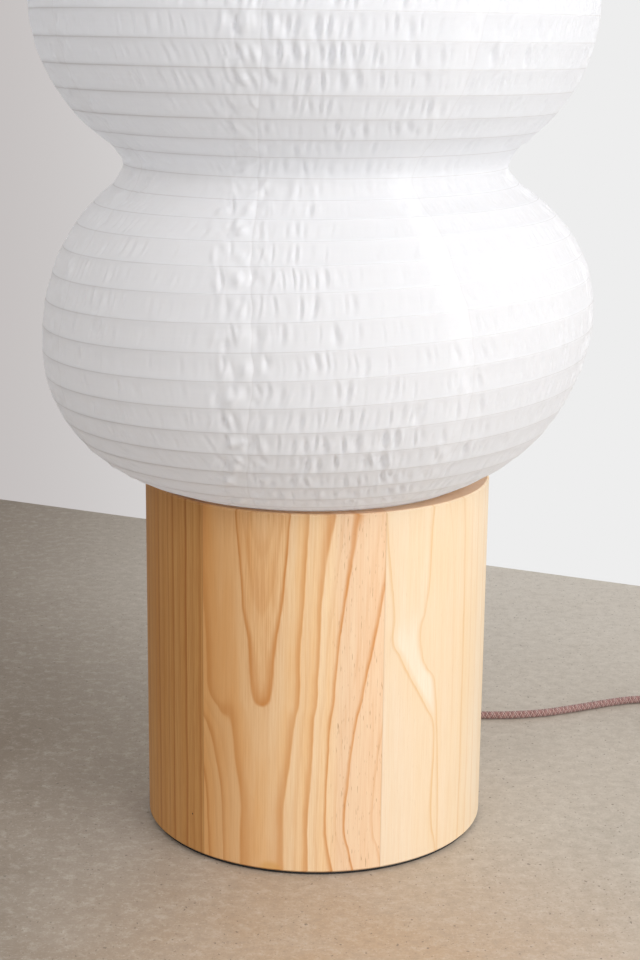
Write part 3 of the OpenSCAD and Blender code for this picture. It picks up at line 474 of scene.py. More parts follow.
# a smooth curve through a few points; value and result keep their own units
def curveThrough(tree, value, points):
    xs, ys = [p[0] for p in points], [p[1] for p in points]
    x0, x1, y0, y1 = min(xs), max(xs), min(ys), max(max(ys), min(ys) + 1e-6)
    node = addNode(tree, "ShaderNodeFloatCurve", {1: remap(tree, value, x0, x1)})
    marks = node.mapping.curves[0].points
    while len(marks) < len(points):
        marks.new(0.5, 0.5)
    places = sorted(((x - x0) / (x1 - x0), (y - y0) / (y1 - y0)) for x, y in points)
    for mark, place in zip(marks, places):
        mark.location = place
    node.mapping.update()
    return remap(tree, node.outputs[0], 0, 1, y0, y1)


def lengthOf(tree, a, b):
    return maths(tree, "SQRT", maths(tree, "MULTIPLY_ADD", a, a, maths(tree, "MULTIPLY", b, b)))


# turn in degrees to the viewer's right, height, and depth below the drum's face
def drumPlace(tree):
    x, y, z = splitPlace(tree, objectPlace(tree))
    turn = maths(tree, "MULTIPLY", maths(tree, "ARCTAN2", x, maths(tree, "MULTIPLY", y, -1.0)), 180 / math.pi)
    return turn, z, maths(tree, "SUBTRACT", drumRadius, lengthOf(tree, x, y))


# a dark line at distance 0: it fades slowly on its inner side, where the distance is negative,
# and fast outside
def lineMask(tree, distance, soft, strength, sharp=0.0008):
    rise = remap(tree, distance, -soft, 0.0, 0.0, strength, smooth=True)
    return maths(tree, "MULTIPLY", rise, remap(tree, distance, 0.0, sharp, 1.0, 0.0, smooth=True))


def allLines(tree, distances):
    lines = 0.0
    for distance, soft, strength in distances:
        lines = maths(tree, "MAXIMUM", lines, lineMask(tree, distance, soft, strength))
    return lines


# every line wavers a little along the grain, in metres
def waver(tree, place, size):
    slow = noiseOf(tree, mapped(tree, place, scale=(45, 45, 20)), 1.0, 3.0, 0.55)
    return maths(tree, "MULTIPLY", maths(tree, "SUBTRACT", slow, 0.5), size)


# rings are circles round the heart, whose depth behind the face changes with the height
def frontField(tree, place, c):
    turn, z, depth = drumPlace(tree)
    across = maths(tree, "MULTIPLY_ADD", maths(tree, "SUBTRACT", turn, c["heartTurn"]), perDegree,
                   waver(tree, place, c["waver"]))
    for key, (near, far) in c["squeezes"].items():
        share = maths(tree, "SUBTRACT", curveThrough(tree, z, c[key]), 1.0)
        some = remap(tree, across, near, far, 0.0, 1.0, smooth=True)
        across = maths(tree, "MULTIPLY", across, maths(tree, "MULTIPLY_ADD", share, some, 1.0))
    deep = maths(tree, "ADD", curveThrough(tree, z, c["heartDepth"]), depth)
    fromHeart = lengthOf(tree, across, deep)
    line = allLines(tree, [(maths(tree, "SUBTRACT", fromHeart, ring), soft, strength)
                           for ring, soft, strength in c["rings"]])
    return line, curveThrough(tree, fromHeart, c["warmth"]), fromHeart


# metres across the drum's face, wavering along the grain and slanting with the depth; and the height
def acrossFace(tree, place, size):
    turn, z, depth = drumPlace(tree)
    flat = maths(tree, "MULTIPLY_ADD", turn, perDegree, waver(tree, place, size))
    return maths(tree, "ADD", flat, depth), z


# each line runs up the stave by its own curve of turns
def rightField(tree, place, c):
    across, z = acrossFace(tree, place, c["waver"])
    away, marks = [], []
    for points, strength, soft in c["lines"]:
        middle = maths(tree, "MULTIPLY", curveThrough(tree, z, points), perDegree)
        away.append(maths(tree, "SUBTRACT", across, middle))
        marks.append((away[-1], soft, strength))
    line = allLines(tree, marks)
    # the wood warms towards the left line and again right of the next one; between the two it is palest
    flame = maths(tree, "MULTIPLY", remap(tree, away[0], 0.0, 0.006, smooth=True),
                  remap(tree, away[1], -0.006, 0.001, 1.0, 0.0, smooth=True))
    flame = maths(tree, "MULTIPLY", flame, curveThrough(tree, z, c["flame"]))
    warmth = maths(tree, "MAXIMUM", remap(tree, away[0], -0.030, 0.0, 0.15, 0.75),
                   remap(tree, away[3], -0.03, 0.0, 0.1, 0.5))
    return line, maths(tree, "MULTIPLY", warmth, remap(tree, flame, 0.0, 1.0, 1.0, 0.0)), flame


# the lines run straight up the stave
def leftField(tree, place, c):
    across = acrossFace(tree, place, c["waver"])[0]
    line = allLines(tree, [(maths(tree, "SUBTRACT", across, turn * perDegree), c["soft"], strength)
                           for turn, strength in c["lines"]])
    streaks = noiseOf(tree, mapped(tree, place, scale=(130, 130, 1.5)), 1.0, 2.0)
    return line, remap(tree, streaks, 0.35, 0.65)


# rings are circles of even width round a leaning heart that wanders a little, each ring with its own strength
def heartField(tree, place, look):
    heartAcross, heartDepth, lean, width = look
    x, y, z = splitPlace(tree, place)
    slow = mapped(tree, place, scale=(14, 14, 3.4))
    wander = maths(tree, "SUBTRACT", noiseOf(tree, slow, 1.0, 2.0, 0.45), 0.5)
    across = maths(tree, "MULTIPLY_ADD", wander, 0.03, maths(tree, "SUBTRACT", y, heartAcross))
    deep = maths(tree, "ADD", maths(tree, "MULTIPLY_ADD", z, lean, heartDepth), x)
    fromHeart = lengthOf(tree, across, deep)
    ring = maths(tree, "DIVIDE", maths(tree, "ADD", fromHeart, waver(tree, place, 0.002)), width)
    inRing = maths(tree, "FRACT", ring)
    perRing = addNode(tree, "ShaderNodeTexWhiteNoise", {"W": maths(tree, "FLOOR", ring)},
                      noise_dimensions="1D").outputs["Value"]
    line = lineMask(tree, maths(tree, "SUBTRACT", inRing, 0.94), 0.32, 1.0, 0.06)
    line = maths(tree, "MULTIPLY", line, remap(tree, perRing, 0, 1, 0.35, 1.0))
    return line, remap(tree, inRing, 0.05, 0.94)


# a round mark on the drum's face, 1 inside and 0 outside: turn, height and half its size in metres
def spotOn(tree, turn, height, halfAcross, halfUp):
    a, z = drumPlace(tree)[:2]
    u = maths(tree, "MULTIPLY", maths(tree, "SUBTRACT", a, turn), perDegree / halfAcross)
    v = maths(tree, "DIVIDE", maths(tree, "SUBTRACT", z, height), halfUp)
    return remap(tree, lengthOf(tree, u, v), 1.3, 0.5, smooth=True)


def pineMaterial(number, c):
    middle, pale, warm, dark, strength = staveLooks[number]
    material, tree, shader, out = newMaterial("pine stave %d" % number,
                                              {"IOR": 1.45, "Specular IOR Level": 0.5})
    # turned so that x points out through the plank, y across it and z up it
    place = mapped(tree, objectPlace(tree), rotation=(0, 0, -math.radians(middle)))
    turn, height = drumPlace(tree)[:2]
    fibres, flecks, half = c["fibres"].get(number, c["fewFibres"]), c["flecks"], c["otherHalf"]
    if number == 1:
        look, half = frontGrain, c["frontHalf"]
        line, warmth, fromHeart = frontField(tree, place, look)
        fibres = remap(tree, fromHeart, *look["fibres"])
        pink = remap(tree, turn, *look["pinkTurn"], smooth=True)
        flecks = maths(tree, "MULTIPLY_ADD", pink, 0.60, 0.06)
        pink = maths(tree, "MULTIPLY", pink, 0.7)
        warm = mixColour(tree, pink, warm, look["pinkWarm"])
        pale = mixColour(tree, pink, pale, look["pinkPale"])
        # painted shade: the wood turns redder and darker towards the shaded left
        paintedShade = remap(tree, turn, *look["paintedShadeTurn"], 1.0, 0.0)
        warm = mixColour(tree, paintedShade, warm, look["paintedShadeWarm"])
        pale = mixColour(tree, paintedShade, pale, look["paintedShadePale"])
    elif number == 2:
        look = rightGrain
        line, warmth, flame = rightField(tree, place, look)
        pale = mixColour(tree, maths(tree, "MULTIPLY", flame, 0.65), pale, look["flameColour"])
        # painted light: paler wood towards the lit right edge
        pale = mixColour(tree, remap(tree, turn, *look["paintedLightTurn"], 0.0, 0.7), pale, look["paintedLightColour"])
    elif number == 6:
        line, warmth = leftField(tree, place, leftGrain)
    else:
        line, warmth = heartField(tree, place, heartLooks[number])
    inputs = {"Place": place, "Line": line, "Warmth": warmth, "Line Strength": strength, "Fibres": fibres,
              "Flecks": flecks, "Dark": (*dark, 1)}
    for key, value in (("Pale", pale), ("Warm", warm)):
        inputs[key] = (*value, 1) if isinstance(value, tuple) else value
    grain = placeGroup(tree, pineGroup, inputs)
    colour = grain["Colour"]
    # the glued joints at the stave's sides, and the end grain on top
    x, y = splitPlace(tree, place)[:2]
    aside = maths(tree, "MULTIPLY", maths(tree, "ABSOLUTE", maths(tree, "ARCTAN2", y, x)), 180 / math.pi)
    joint = remap(tree, aside, half - 0.35, half - 0.1, 0.0, c["jointStrength"])
    colour = mixColour(tree, joint, colour, c["joint"])
    endGrain = remap(tree, height, drumHeight - 0.00035, drumHeight - 0.00015)
    colour = mixColour(tree, maths(tree, "MULTIPLY", endGrain, c["endStrength"]), colour, c["endGrain"])
    if number == 1:
        resin = maths(tree, "MULTIPLY", spotOn(tree, *look["resin"]), 0.55)
        colour = mixColour(tree, resin, colour, look["resinColour"])
    elif number == 6:
        colour = mixColour(tree, spotOn(tree, *leftGrain["mark"]), colour, leftGrain["markColour"])
    link(tree, colour, shader.inputs["Base Color"])
    link(tree, remap(tree, line, 0, 1, 0.52, 0.42), shader.inputs["Roughness"])
    bumpInto(tree, shader, grain["Height"], 0.22, 0.0003)
    return material


# the boards that close the drum, with their grain lying level
boardLook = {
    "heart": (0.02, -0.34, 0.1, 0.006),      # as for the staves
    "pale": (0.80, 0.60, 0.36, 1),
    "warm": (0.74, 0.50, 0.27, 1),
    "dark": (0.60, 0.34, 0.15, 1),
}


def boardMaterial(c):
    material, tree, shader, out = newMaterial("board", {"Specular IOR Level": 0.3})
    place = mapped(tree, objectPlace(tree), rotation=(0, math.pi / 2, 0.3))
    line, warmth = heartField(tree, place, c["heart"])
    grain = placeGroup(tree, pineGroup, {"Place": place, "Line": line, "Warmth": warmth, "Pale": c["pale"],
                                         "Warm": c["warm"], "Dark": c["dark"]})
    link(tree, grain["Colour"], shader.inputs["Base Color"])
    link(tree, remap(tree, grain["Height"], 0, 1, 0.62, 0.5), shader.inputs["Roughness"])
    bumpInto(tree, shader, grain["Height"], 0.3, 0.0003)
    return material


# plastic, foam, porcelain, cast iron and coated steel share a cloudy, finely grained surface
def grainedMaterial(name, light, dark, rough, fineScale=1400, broadScale=45, bump=0.12, depth=0.0001,
                    metal=0.0):
    material, tree, shader, out = newMaterial(name, {"Metallic": metal})
    grain = placeGroup(tree, surfaceGroup, {"Place": objectPlace(tree), "Broad Scale": broadScale,
                                           "Fine Scale": fineScale})
    mixed = maths(tree, "MULTIPLY_ADD", grain["Fine"], 0.4, maths(tree, "MULTIPLY", grain["Broad"], 0.6))
    link(tree, mixColour(tree, remap(tree, mixed, 0.3, 0.7), dark, light), shader.inputs["Base Color"])
    link(tree, remap(tree, mixed, 0.3, 0.7, rough + 0.06, rough - 0.05), shader.inputs["Roughness"])
    bumpInto(tree, shader, grain["Fine"], bump, depth)
    return material


# brushed or drawn metal: fine streaks, along Z unless told otherwise
def brushedMaterial(name, light, dark, rough, streak=(900, 900, 14)):
    material, tree, shader, out = newMaterial(name, {"Metallic": 1.0})
    lines = noiseOf(tree, mapped(tree, objectPlace(tree), scale=streak), 1.0, 3.0, 0.6)
    broad = noiseOf(tree, objectPlace(tree), 30.0, 2.0)
    link(tree, mixColour(tree, remap(tree, lines, 0.35, 0.65), dark, light), shader.inputs["Base Color"])
    link(tree, remap(tree, broad, 0.3, 0.7, rough - 0.05, rough + 0.07), shader.inputs["Roughness"])
    bumpInto(tree, shader, lines, 0.08, 0.0001)
    return material


clothLook = {
    "white": (0.955, 0.966, 0.990),
    "shade": (0.915, 0.926, 0.955),
    # painted shade of the wires behind the cloth and of the seams' creases
    "wire": (0.42, 0.38, 0.36),
    "wireShadeStrength": 0.25,
    "wireHalf": 0.00042,     # half the width of the line at a wire, with painted shade and less light through
    "tape": 0.0180,          # width of the cloth that is folded under, on the left of each seam
    "through": 0.50,         # share of the light that the cloth lets through
    "throughTape": 0.445,
    "throughWire": 0.65,     # share of that at a wire
    "seam": 0.08,            # darkness of a seam: its stitched edge, with painted shade in its crease
    "threads": 1700.0,       # threads in a metre
}


# thin cloth: light comes through it, less at the wires and where it lies double beside a seam
def clothMaterial(c):
    material, tree, shader, out = newMaterial("lantern cloth", {
        "Roughness": 0.7, "Specular IOR Level": 0.25, "Sheen Weight": 0.12, "Sheen Roughness": 0.4})
    u, v = splitPlace(tree, surfacePlace(tree))[:2]
    edgePlace = addNode(tree, "ShaderNodeUVMap", uv_map="edge").outputs["UV"]
    fromLeft, fromRight = splitPlace(tree, edgePlace)[:2]
    fromMiddle = maths(tree, "SUBTRACT", maths(tree, "FRACT", maths(tree, "ADD", v, 0.5)), 0.5)
    toWire = maths(tree, "ABSOLUTE", fromMiddle)
    halfWire = c["wireHalf"] / lantern["ribPitch"]
    wire = remap(tree, toWire, halfWire * 0.5, halfWire * 1.4, 1.0, 0.0, smooth=True)
    tape = remap(tree, fromRight, c["tape"] - 0.0004, c["tape"] + 0.0004, 1.0, 0.0, smooth=True)
    seam = remap(tree, maths(tree, "MINIMUM", fromLeft, fromRight), 0.0002, 0.0009, 1.0, 0.0, smooth=True)
    # plain weave: two sets of rounded threads at right angles
    threads, threadsPerGap = c["threads"] * math.pi, c["threads"] * lantern["ribPitch"] * math.pi
    threadU = maths(tree, "ABSOLUTE", maths(tree, "SINE", maths(tree, "MULTIPLY", u, threads)))
    threadV = maths(tree, "ABSOLUTE", maths(tree, "SINE", maths(tree, "MULTIPLY", v, threadsPerGap)))
    weave = maths(tree, "MAXIMUM", threadU, threadV)
    # threads of uneven thickness show as faint streaks up and across the cloth
    slubUp = noiseOf(tree, mapped(tree, surfacePlace(tree), scale=(520, 1.1, 1)), 1.0, 2.0)
    slubAcross = noiseOf(tree, mapped(tree, surfacePlace(tree), scale=(28, 10.0, 1)), 1.0, 2.0)
    cloudy = noiseOf(tree, objectPlace(tree), 26.0, 3.0)
    uneven = maths(tree, "MULTIPLY", maths(tree, "ADD", slubUp, slubAcross), 0.5)
    colour = mixColour(tree, remap(tree, cloudy, 0.3, 0.75, 0.0, 0.3), c["white"], c["shade"])
    colour = mixColour(tree, remap(tree, uneven, 0.38, 0.62, 0.35, 0.0), colour, c["shade"])
    # painted shade: a dark line along each seam's crease and along each wire, where the wire behind the cloth
    # blocks the light coming through
    colour = mixColour(tree, maths(tree, "MULTIPLY", seam, c["seam"]), colour, c["wire"])
    colour = mixColour(tree, maths(tree, "MULTIPLY", wire, c["wireShadeStrength"]), colour, c["wire"])
    link(tree, colour, shader.inputs["Base Color"])
    bumpInto(tree, shader, maths(tree, "MULTIPLY_ADD", slubUp, 0.6, weave), 0.10, 0.00012)
    through = remap(tree, tape, 0, 1, c["through"], c["throughTape"])
    through = maths(tree, "MULTIPLY", through, remap(tree, wire, 0, 1, 1.0, c["throughWire"]))
    behind = addNode(tree, "ShaderNodeBsdfTranslucent", {"Color": colour})
    both = addNode(tree, "ShaderNodeMixShader", {0: through, 1: shader.outputs[0], 2: behind.outputs[0]})
    link(tree, both.outputs[0], out.inputs["Surface"])
    return material


braidLook = {
    "strands": 12,
    "pitch": 0.0105,         # length in which a strand goes once round
    "colours": [
        (0.26, 0.115, 0.10), (0.38, 0.20, 0.18), (0.13, 0.06, 0.05), (0.58, 0.44, 0.41), (0.32, 0.15, 0.135),
    ],
    "speck": (0.50, 0.35, 0.32),
    # painted shade in the grooves between strands
    "gap": (0.07, 0.03, 0.027),
}


# braid: two sets of strands wind round opposite ways and pass over each other in turn;
# each strand has its own colour
def braidMaterial(c):
    material, tree, shader, out = newMaterial("braided sleeve", {
        "Specular IOR Level": 0.2, "Sheen Weight": 0.2, "Sheen Roughness": 0.5, "Roughness": 0.75})
    u, v = splitPlace(tree, surfacePlace(tree))[:2]
    around = maths(tree, "MULTIPLY", u, float(c["strands"]))
    along = maths(tree, "DIVIDE", v, c["pitch"] / c["strands"])
    ridges, numbers, counts = [], [], []
    for sign in (1.0, -1.0):
        q = maths(tree, "MULTIPLY_ADD", along, sign, around)
        counts.append(maths(tree, "FLOOR", q))
        ridges.append(maths(tree, "ABSOLUTE", maths(tree, "SINE", maths(tree, "MULTIPLY", q, math.pi))))
        numbers.append(maths(tree, "MODULO", counts[-1], float(c["strands"])))
    turn = maths(tree, "ABSOLUTE", maths(tree, "MODULO", maths(tree, "ADD", counts[0], counts[1]), 2.0))
    front = maths(tree, "GREATER_THAN", maths(tree, "ADD", ridges[0], maths(tree, "MULTIPLY", turn, 0.45)),
                  maths(tree, "ADD", ridges[1], 0.22))
    which = addNode(tree, "ShaderNodeMix", {0: front, 2: maths(tree, "ADD", numbers[1], 31.0), 3: numbers[0]},
                    data_type="FLOAT").outputs[0]
    pick = addNode(tree, "ShaderNodeTexWhiteNoise", {"W": which}, noise_dimensions="1D").outputs["Value"]
    ramp = addNode(tree, "ShaderNodeValToRGB", {0: pick})
    ramp.color_ramp.interpolation = "CONSTANT"
    stops = ramp.color_ramp.elements
    while len(stops) < len(c["colours"]):
        stops.new(1.0)
    for n, colour in enumerate(c["colours"]):
        stops[n].position = n / len(c["colours"])
        stops[n].color = (*colour, 1)
    speck = noiseOf(tree, mapped(tree, surfacePlace(tree), scale=(22, 1300, 1)), 1.0, 1.0)
    colour = mixColour(tree, remap(tree, speck, 0.4, 0.7, 0.0, 0.45), ramp.outputs[0], c["speck"])
    height = maths(tree, "MAXIMUM", ridges[0], ridges[1])
    # painted shade: darker where the strands dip into the grooves
    colour = mixColour(tree, remap(tree, height, 0.45, 0.85, 0.65, 0.0), colour, c["gap"])
    link(tree, colour, shader.inputs["Base Color"])
    bumpInto(tree, shader, height, 0.6, 0.0005)
    return material


opalLook = {
    "thin": (0.86, 0.85, 0.82),
    "thick": (0.92, 0.915, 0.90),
}


# opal glass: a little cloudy, and smooth
def opalMaterial(c):
    material, tree, shader, out = newMaterial("opal glass", {
        "Roughness": 0.22, "IOR": 1.5, "Coat Weight": 0.3, "Coat Roughness": 0.08})
    cloudy = noiseOf(tree, objectPlace(tree), 60.0, 2.0)
    link(tree, mixColour(tree, cloudy, c["thin"], c["thick"]), shader.inputs["Base Color"])
    link(tree, remap(tree, cloudy, 0.3, 0.7, 0.20, 0.26), shader.inputs["Roughness"])
    return material


# the lantern, in metres: a stack of bubbles, each an arc turned round the pole
lantern = {
    "baseTop": drumHeight,
    "bubbles": 3,
    "bubbleD": 0.422,
    "pitch": 0.240,         # from one bubble to the next
    "neckD": 0.284,
    "curve": 0.125,         # radius of a bubble's side
    "mouthD": 0.150,
    "seatGap": 0.0003,      # between the drum and the hem
    "ribPitch": 0.0192,     # from wire to wire, before it is evened out
    "cloth": 0.0008,
    "wire": 0.0012,
    "ring": 0.005,
    "wireGap": 0.0001,      # between the cloth's inside and its wires
    "gores": 8,
    "firstSeam": -12.5,     # turn of the first seam, in degrees to the viewer's right
    "ease": 0.17,           # how far a bend at a wire is rounded off, as a share of a gap
    "neckEase": 0.55,
    "neckReach": 0.016,     # how far above and below a neck that and the gathered folds reach
    "rows": 8,              # faces between two wires
    "columns": {7: 210, 0: 210, 1: 210, 6: 150, 2: 150},    # faces across each gore in view
    "rearColumns": 100,
    "ringSteps": 144,
    "wireSides": 6,
    "ringSides": 16,
    "hemRow": 0.13,         # how far up the first gap the lower ring lies
    "goreWidth": 0.166,     # at its widest, from seam to seam
    "flatWidth": 0.170,     # with what the seams take
    "sag": 0.0003,          # how far the cloth draws in between two wires
    "unlevel": 0.0007,      # how far a wire dips on one side
    "tilt": 0.011,          # the first bubble bulges lower on the viewer's left
    # how far the lantern leans to the viewer's right and away at each height
    "leanHeights": [0.282, 0.402, 0.522, 0.60, 0.76, 0.90, 1.00],
    "leanAside": [-0.006, -0.001, -0.0036, -0.0057, -0.005, -0.003, 0.0],
    "leanAway": [-0.005, 0.0, 0.0, 0.0, 0.0, 0.0, 0.0],
}
# turn of each front seam at these heights, in degrees to the viewer's right; the others are worked out
seamHeights = [0.28, 0.34, 0.402, 0.46, 0.522, 0.58, 0.642, 0.70, 0.762, 0.882, 1.01]
seamTurns = {
    0: [-16.5, -13, -11.5, -12.5, -15.5, -10, -8.5, -10.5, -13, -12.5, -12.5],
    1: [31, 31.5, 30.5, 28.5, 27.5, 30.5, 33, 32, 31, 32.5, 32.5],
    7: [-61, -63, -63, -61, -59, -58.5, -58.5, -58, -57.5, -57.5, -57.5],
}
puckerLook = {
    # where the cloth is puckered: turn, height, how far it spreads both ways, strength
    "patches": [
        (10, 0.345, 23, 0.060, 1.15), (-4, 0.46, 8, 0.06, 0.9), (10, 0.61, 24, 0.065, 1.3),
        (8, 0.72, 28, 0.07, 1.1), (-53, 0.44, 9, 0.06, 0.8), (-29, 0.59, 12, 0.045, 0.5),
        (45, 0.62, 14, 0.08, 0.45), (48, 0.38, 18, 0.09, 0.28), (-38, 0.36, 14, 0.030, 0.35),
        (-90, 0.50, 20, 0.25, 0.45), (110, 0.60, 50, 0.40, 0.6), (-140, 0.60, 60, 0.40, 0.6),
    ],
    "elsewhere": 0.10,
    "limits": (0.03, 1.3),
    "count": 50,                     # drawn for each gap; those past the gore's edge are left out
    "spacing": (0.0035, 0.0105),
    "halfWidth": (0.0009, 0.0024),
    "depth": 1.45,                   # of the half-width
    "slant": 0.0018,                 # sideways from one wire to the next
}
seamLook = {
    "strength": {0: 1.0, 1: 0.35, 7: 0.85},
    "otherStrength": 0.6,
    # puffs and dents: how many in a gap, middle and spread of their distance to the right of the seam,
    # half-width, half-height in gaps, and lift
    "folds": [
        (3, -0.0095, 0.0040, (0.0030, 0.0062), (0.20, 0.42), (0.0006, 0.0024)),
        (2, -0.0185, 0.0024, (0.0013, 0.0030), (0.18, 0.38), (-0.0028, -0.0008)),
        (2, -0.0240, 0.0032, (0.0018, 0.0040), (0.20, 0.40), (0.0005, 0.0020)),
        (2, 0.0045, 0.0030, (0.0014, 0.0030), (0.16, 0.34), (-0.0025, -0.0008)),
        (2, 0.0105, 0.0050, (0.0016, 0.0042), (0.20, 0.42), (-0.0008, 0.0022)),
    ],
    "neckFolds": 4,
}


# the outline's stations, one at each wire: arcs for the bubbles and small fillets at the necks,
# walked by arc length
def lanternStations(c):
    half, radius = c["pitch"] / 2, c["bubbleD"] / 2
    centre = radius - c["curve"]
    neckIn = c["neckD"] / 2 - centre
    fillet = (neckIn**2 + half**2 - c["curve"]**2) / (2 * (c["curve"] - neckIn))
    filletX = c["neckD"] / 2 + fillet
    turn = math.atan2(half, filletX - centre)
    foot = math.asin((half - c["seatGap"]) / c["curve"])
    mouth = math.acos((c["mouthD"] / 2 - centre) / c["curve"])
    stations = []
    for i in range(c["bubbles"]):
        low, high = (0 if i == 0 else fillet * turn), (0 if i == c["bubbles"] - 1 else fillet * turn)
        start, end = (-foot if i == 0 else -turn), (mouth if i == c["bubbles"] - 1 else turn)
        total = low + (end - start) * c["curve"] + high
        count = round(total / c["ribPitch"])
        s = np.arange(0 if i == 0 else 1, count + 1) * total / count
        middle = c["baseTop"] + (i + 0.5) * c["pitch"]
        a = start + (s - low) / c["curve"]
        r, z = centre + c["curve"] * np.cos(a), middle + c["curve"] * np.sin(a)
        for near, side, on in ((s, -1, s < low), (total - s, 1, s > total - high)):
            b = near / fillet
            r = np.where(on, filletX - fillet * np.cos(b), r)
            z = np.where(on, middle + side * (half - fillet * np.sin(b)), z)
        stations.append(np.stack([r, z], -1))
    return np.vstack(stations)


stations = lanternStations(lantern)
gaps = len(stations) - 1
necks = [lantern["baseTop"] + n * lantern["pitch"] for n in (1, 2)]


# the cloth runs straight from wire to wire, eased at the wires and more at the necks;
# its columns are row, r and z
def clothOutline(c, perGap=16):
    row = np.arange(gaps * perGap + 1) / perGap
    straight = np.stack([np.interp(row, np.arange(gaps + 1), stations[:, i]) for i in (0, 1)], -1)

    def eased(spread):
        reach = np.arange(-2 * perGap, 2 * perGap + 1)
        weight = np.exp(-(reach / (spread * perGap)) ** 2)
        ends = 2 * straight[0] - straight[2 * perGap:0:-1], 2 * straight[-1] - straight[-2:-2 * perGap - 2:-1]
        long = np.vstack([ends[0], straight, ends[1]])
        return np.stack([np.convolve(long[:, i], weight / weight.sum(), "valid") for i in (0, 1)], -1)

    atNeck = sum(np.exp(-((straight[:, 1] - n) / c["neckReach"]) ** 2) for n in necks)[:, None]
    return np.column_stack([row, eased(c["ease"]) * (1 - atNeck) + eased(c["neckEase"]) * atNeck])


outline = clothOutline(lantern)
cloudTable = np.random.default_rng(7).random((64, 64)) * 2 - 1


# smooth noise from a table: the value at whole numbers is the table's, and between them it eases
def tableNoise(table, u, v):
    iu, iv = np.floor(u).astype(int), np.floor(v).astype(int)
    fu, fv = u - iu, v - iv
    fu, fv = fu * fu * (3 - 2 * fu), fv * fv * (3 - 2 * fv)
    rows, columns = table.shape
    near, far = [[table[(iv + a) % rows, (iu + b) % columns] for b in (0, 1)] for a in (0, 1)]
    return (near[0] * (1 - fu) + near[1] * fu) * (1 - fv) + (far[0] * (1 - fu) + far[1] * fu) * fv


# turn of seam k at height z, in degrees to the viewer's right
def seamTurn(k, z):
    gores = lantern["gores"]
    k = k % gores
    plain = lantern["firstSeam"] + 360 / gores * (k if k <= gores / 2 else k - gores)
    if k in seamTurns:
        waves = 0.14 * np.sin(z * 118 + k) + 0.10 * np.sin(z * 345 + 2 * k)
        return np.interp(z, seamHeights, seamTurns[k]) + waves
    return plain + 1.6 * np.sin(z * 19 + k * 2.1) + 0.8 * np.sin(z * 47 + k)


# point of the cloth at a turn, in degrees to the viewer's right, and a row counted in wires:
# the outline there, moved by lift along its normal, leaned and tilted
def clothPoint(turn, row, lift, c):
    turn, row, lift = np.broadcast_arrays(*(np.asarray(v, float) for v in (turn, row, lift)))
    slope = np.gradient(outline[:, 1:], axis=0)
    slope /= np.linalg.norm(slope, axis=1)[:, None]
    r, z, slopeR, slopeZ = (np.interp(row, outline[:, 0], v) for v in (*outline[:, 1:].T, *slope.T))
    sine, cosine = np.sin(np.radians(turn)), np.cos(np.radians(turn))
    r, z = r + lift * slopeZ, z - lift * slopeR
    # the wires don't lie quite level
    waves = np.sin(np.radians(turn) + row * 0.7) * np.clip(row, 0, 1) * np.clip(gaps - row, 0, 1)
    z = z + c["unlevel"] * waves
    half = c["pitch"] / 2
    lower = np.clip(1 - np.abs(z - c["baseTop"] - half) / half, 0, 1)
    aside = np.interp(z, c["leanHeights"], c["leanAside"])
    away = np.interp(z, c["leanHeights"], c["leanAway"])
    tilted = z + c["tilt"] * sine * np.sin(lower * np.pi / 2)
    return np.stack([r * sine + aside, -r * cosine + away, tilted], -1)


# how strongly the cloth is puckered at a turn and height
def puckerStrength(turn, z, c):
    patches = sum(strength * np.exp(-((turn - a) / wide) ** 2 - ((z - h) / tall) ** 2)
                  for a, h, wide, tall, strength in c["patches"])
    cloudy = 1 + 0.5 * tableNoise(cloudTable, turn / 8 + 40, z * 34)
    return np.clip((c["elsewhere"] + patches) * cloudy, *c["limits"])


# puckers between two wires: each is a narrow valley with a ridge beside it, a little aslant
def puckerLift(k, rows, fromLeft, fromRight, c):
    chance = np.random.default_rng(40 + k)
    perGap, count = lantern["rows"], c["count"]
    lift = np.zeros_like(fromLeft)
    for gap in range(gaps):
        here = slice(gap * perGap, (gap + 1) * perGap + 1)
        t = rows[here] - gap
        places = np.cumsum(chance.uniform(*c["spacing"], count))
        half = chance.uniform(*c["halfWidth"], count)
        depth = chance.uniform(0.2, 1.0, count) ** 1.4 * half * c["depth"]
        slant = chance.normal(0, c["slant"], count)
        reach = chance.uniform(0.25, 0.75, count)
        inside = places < fromLeft[here].max()
        aslant = slant[inside, None] * (t[None] - 0.5)
        away = fromLeft[here][None] - places[inside, None, None] - aslant[..., None]
        w = half[inside, None, None]
        shape = 0.6 * np.exp(-((away - 1.8 * w) / (1.2 * w)) ** 2) - np.exp(-(away / w) ** 2)
        # each pucker is deepest at its own height between the wires
        up = np.exp(-((t[None] - reach[inside, None]) / 0.42) ** 2)[..., None]
        lift[here] += (depth[inside, None, None] * shape * up).sum(0) * (np.sin(np.pi * t) ** 0.6)[:, None]
    window = (1 - np.exp(-(fromLeft / 0.003) ** 2)) * (1 - np.exp(-(fromRight / 0.003) ** 2))
    return lift * window


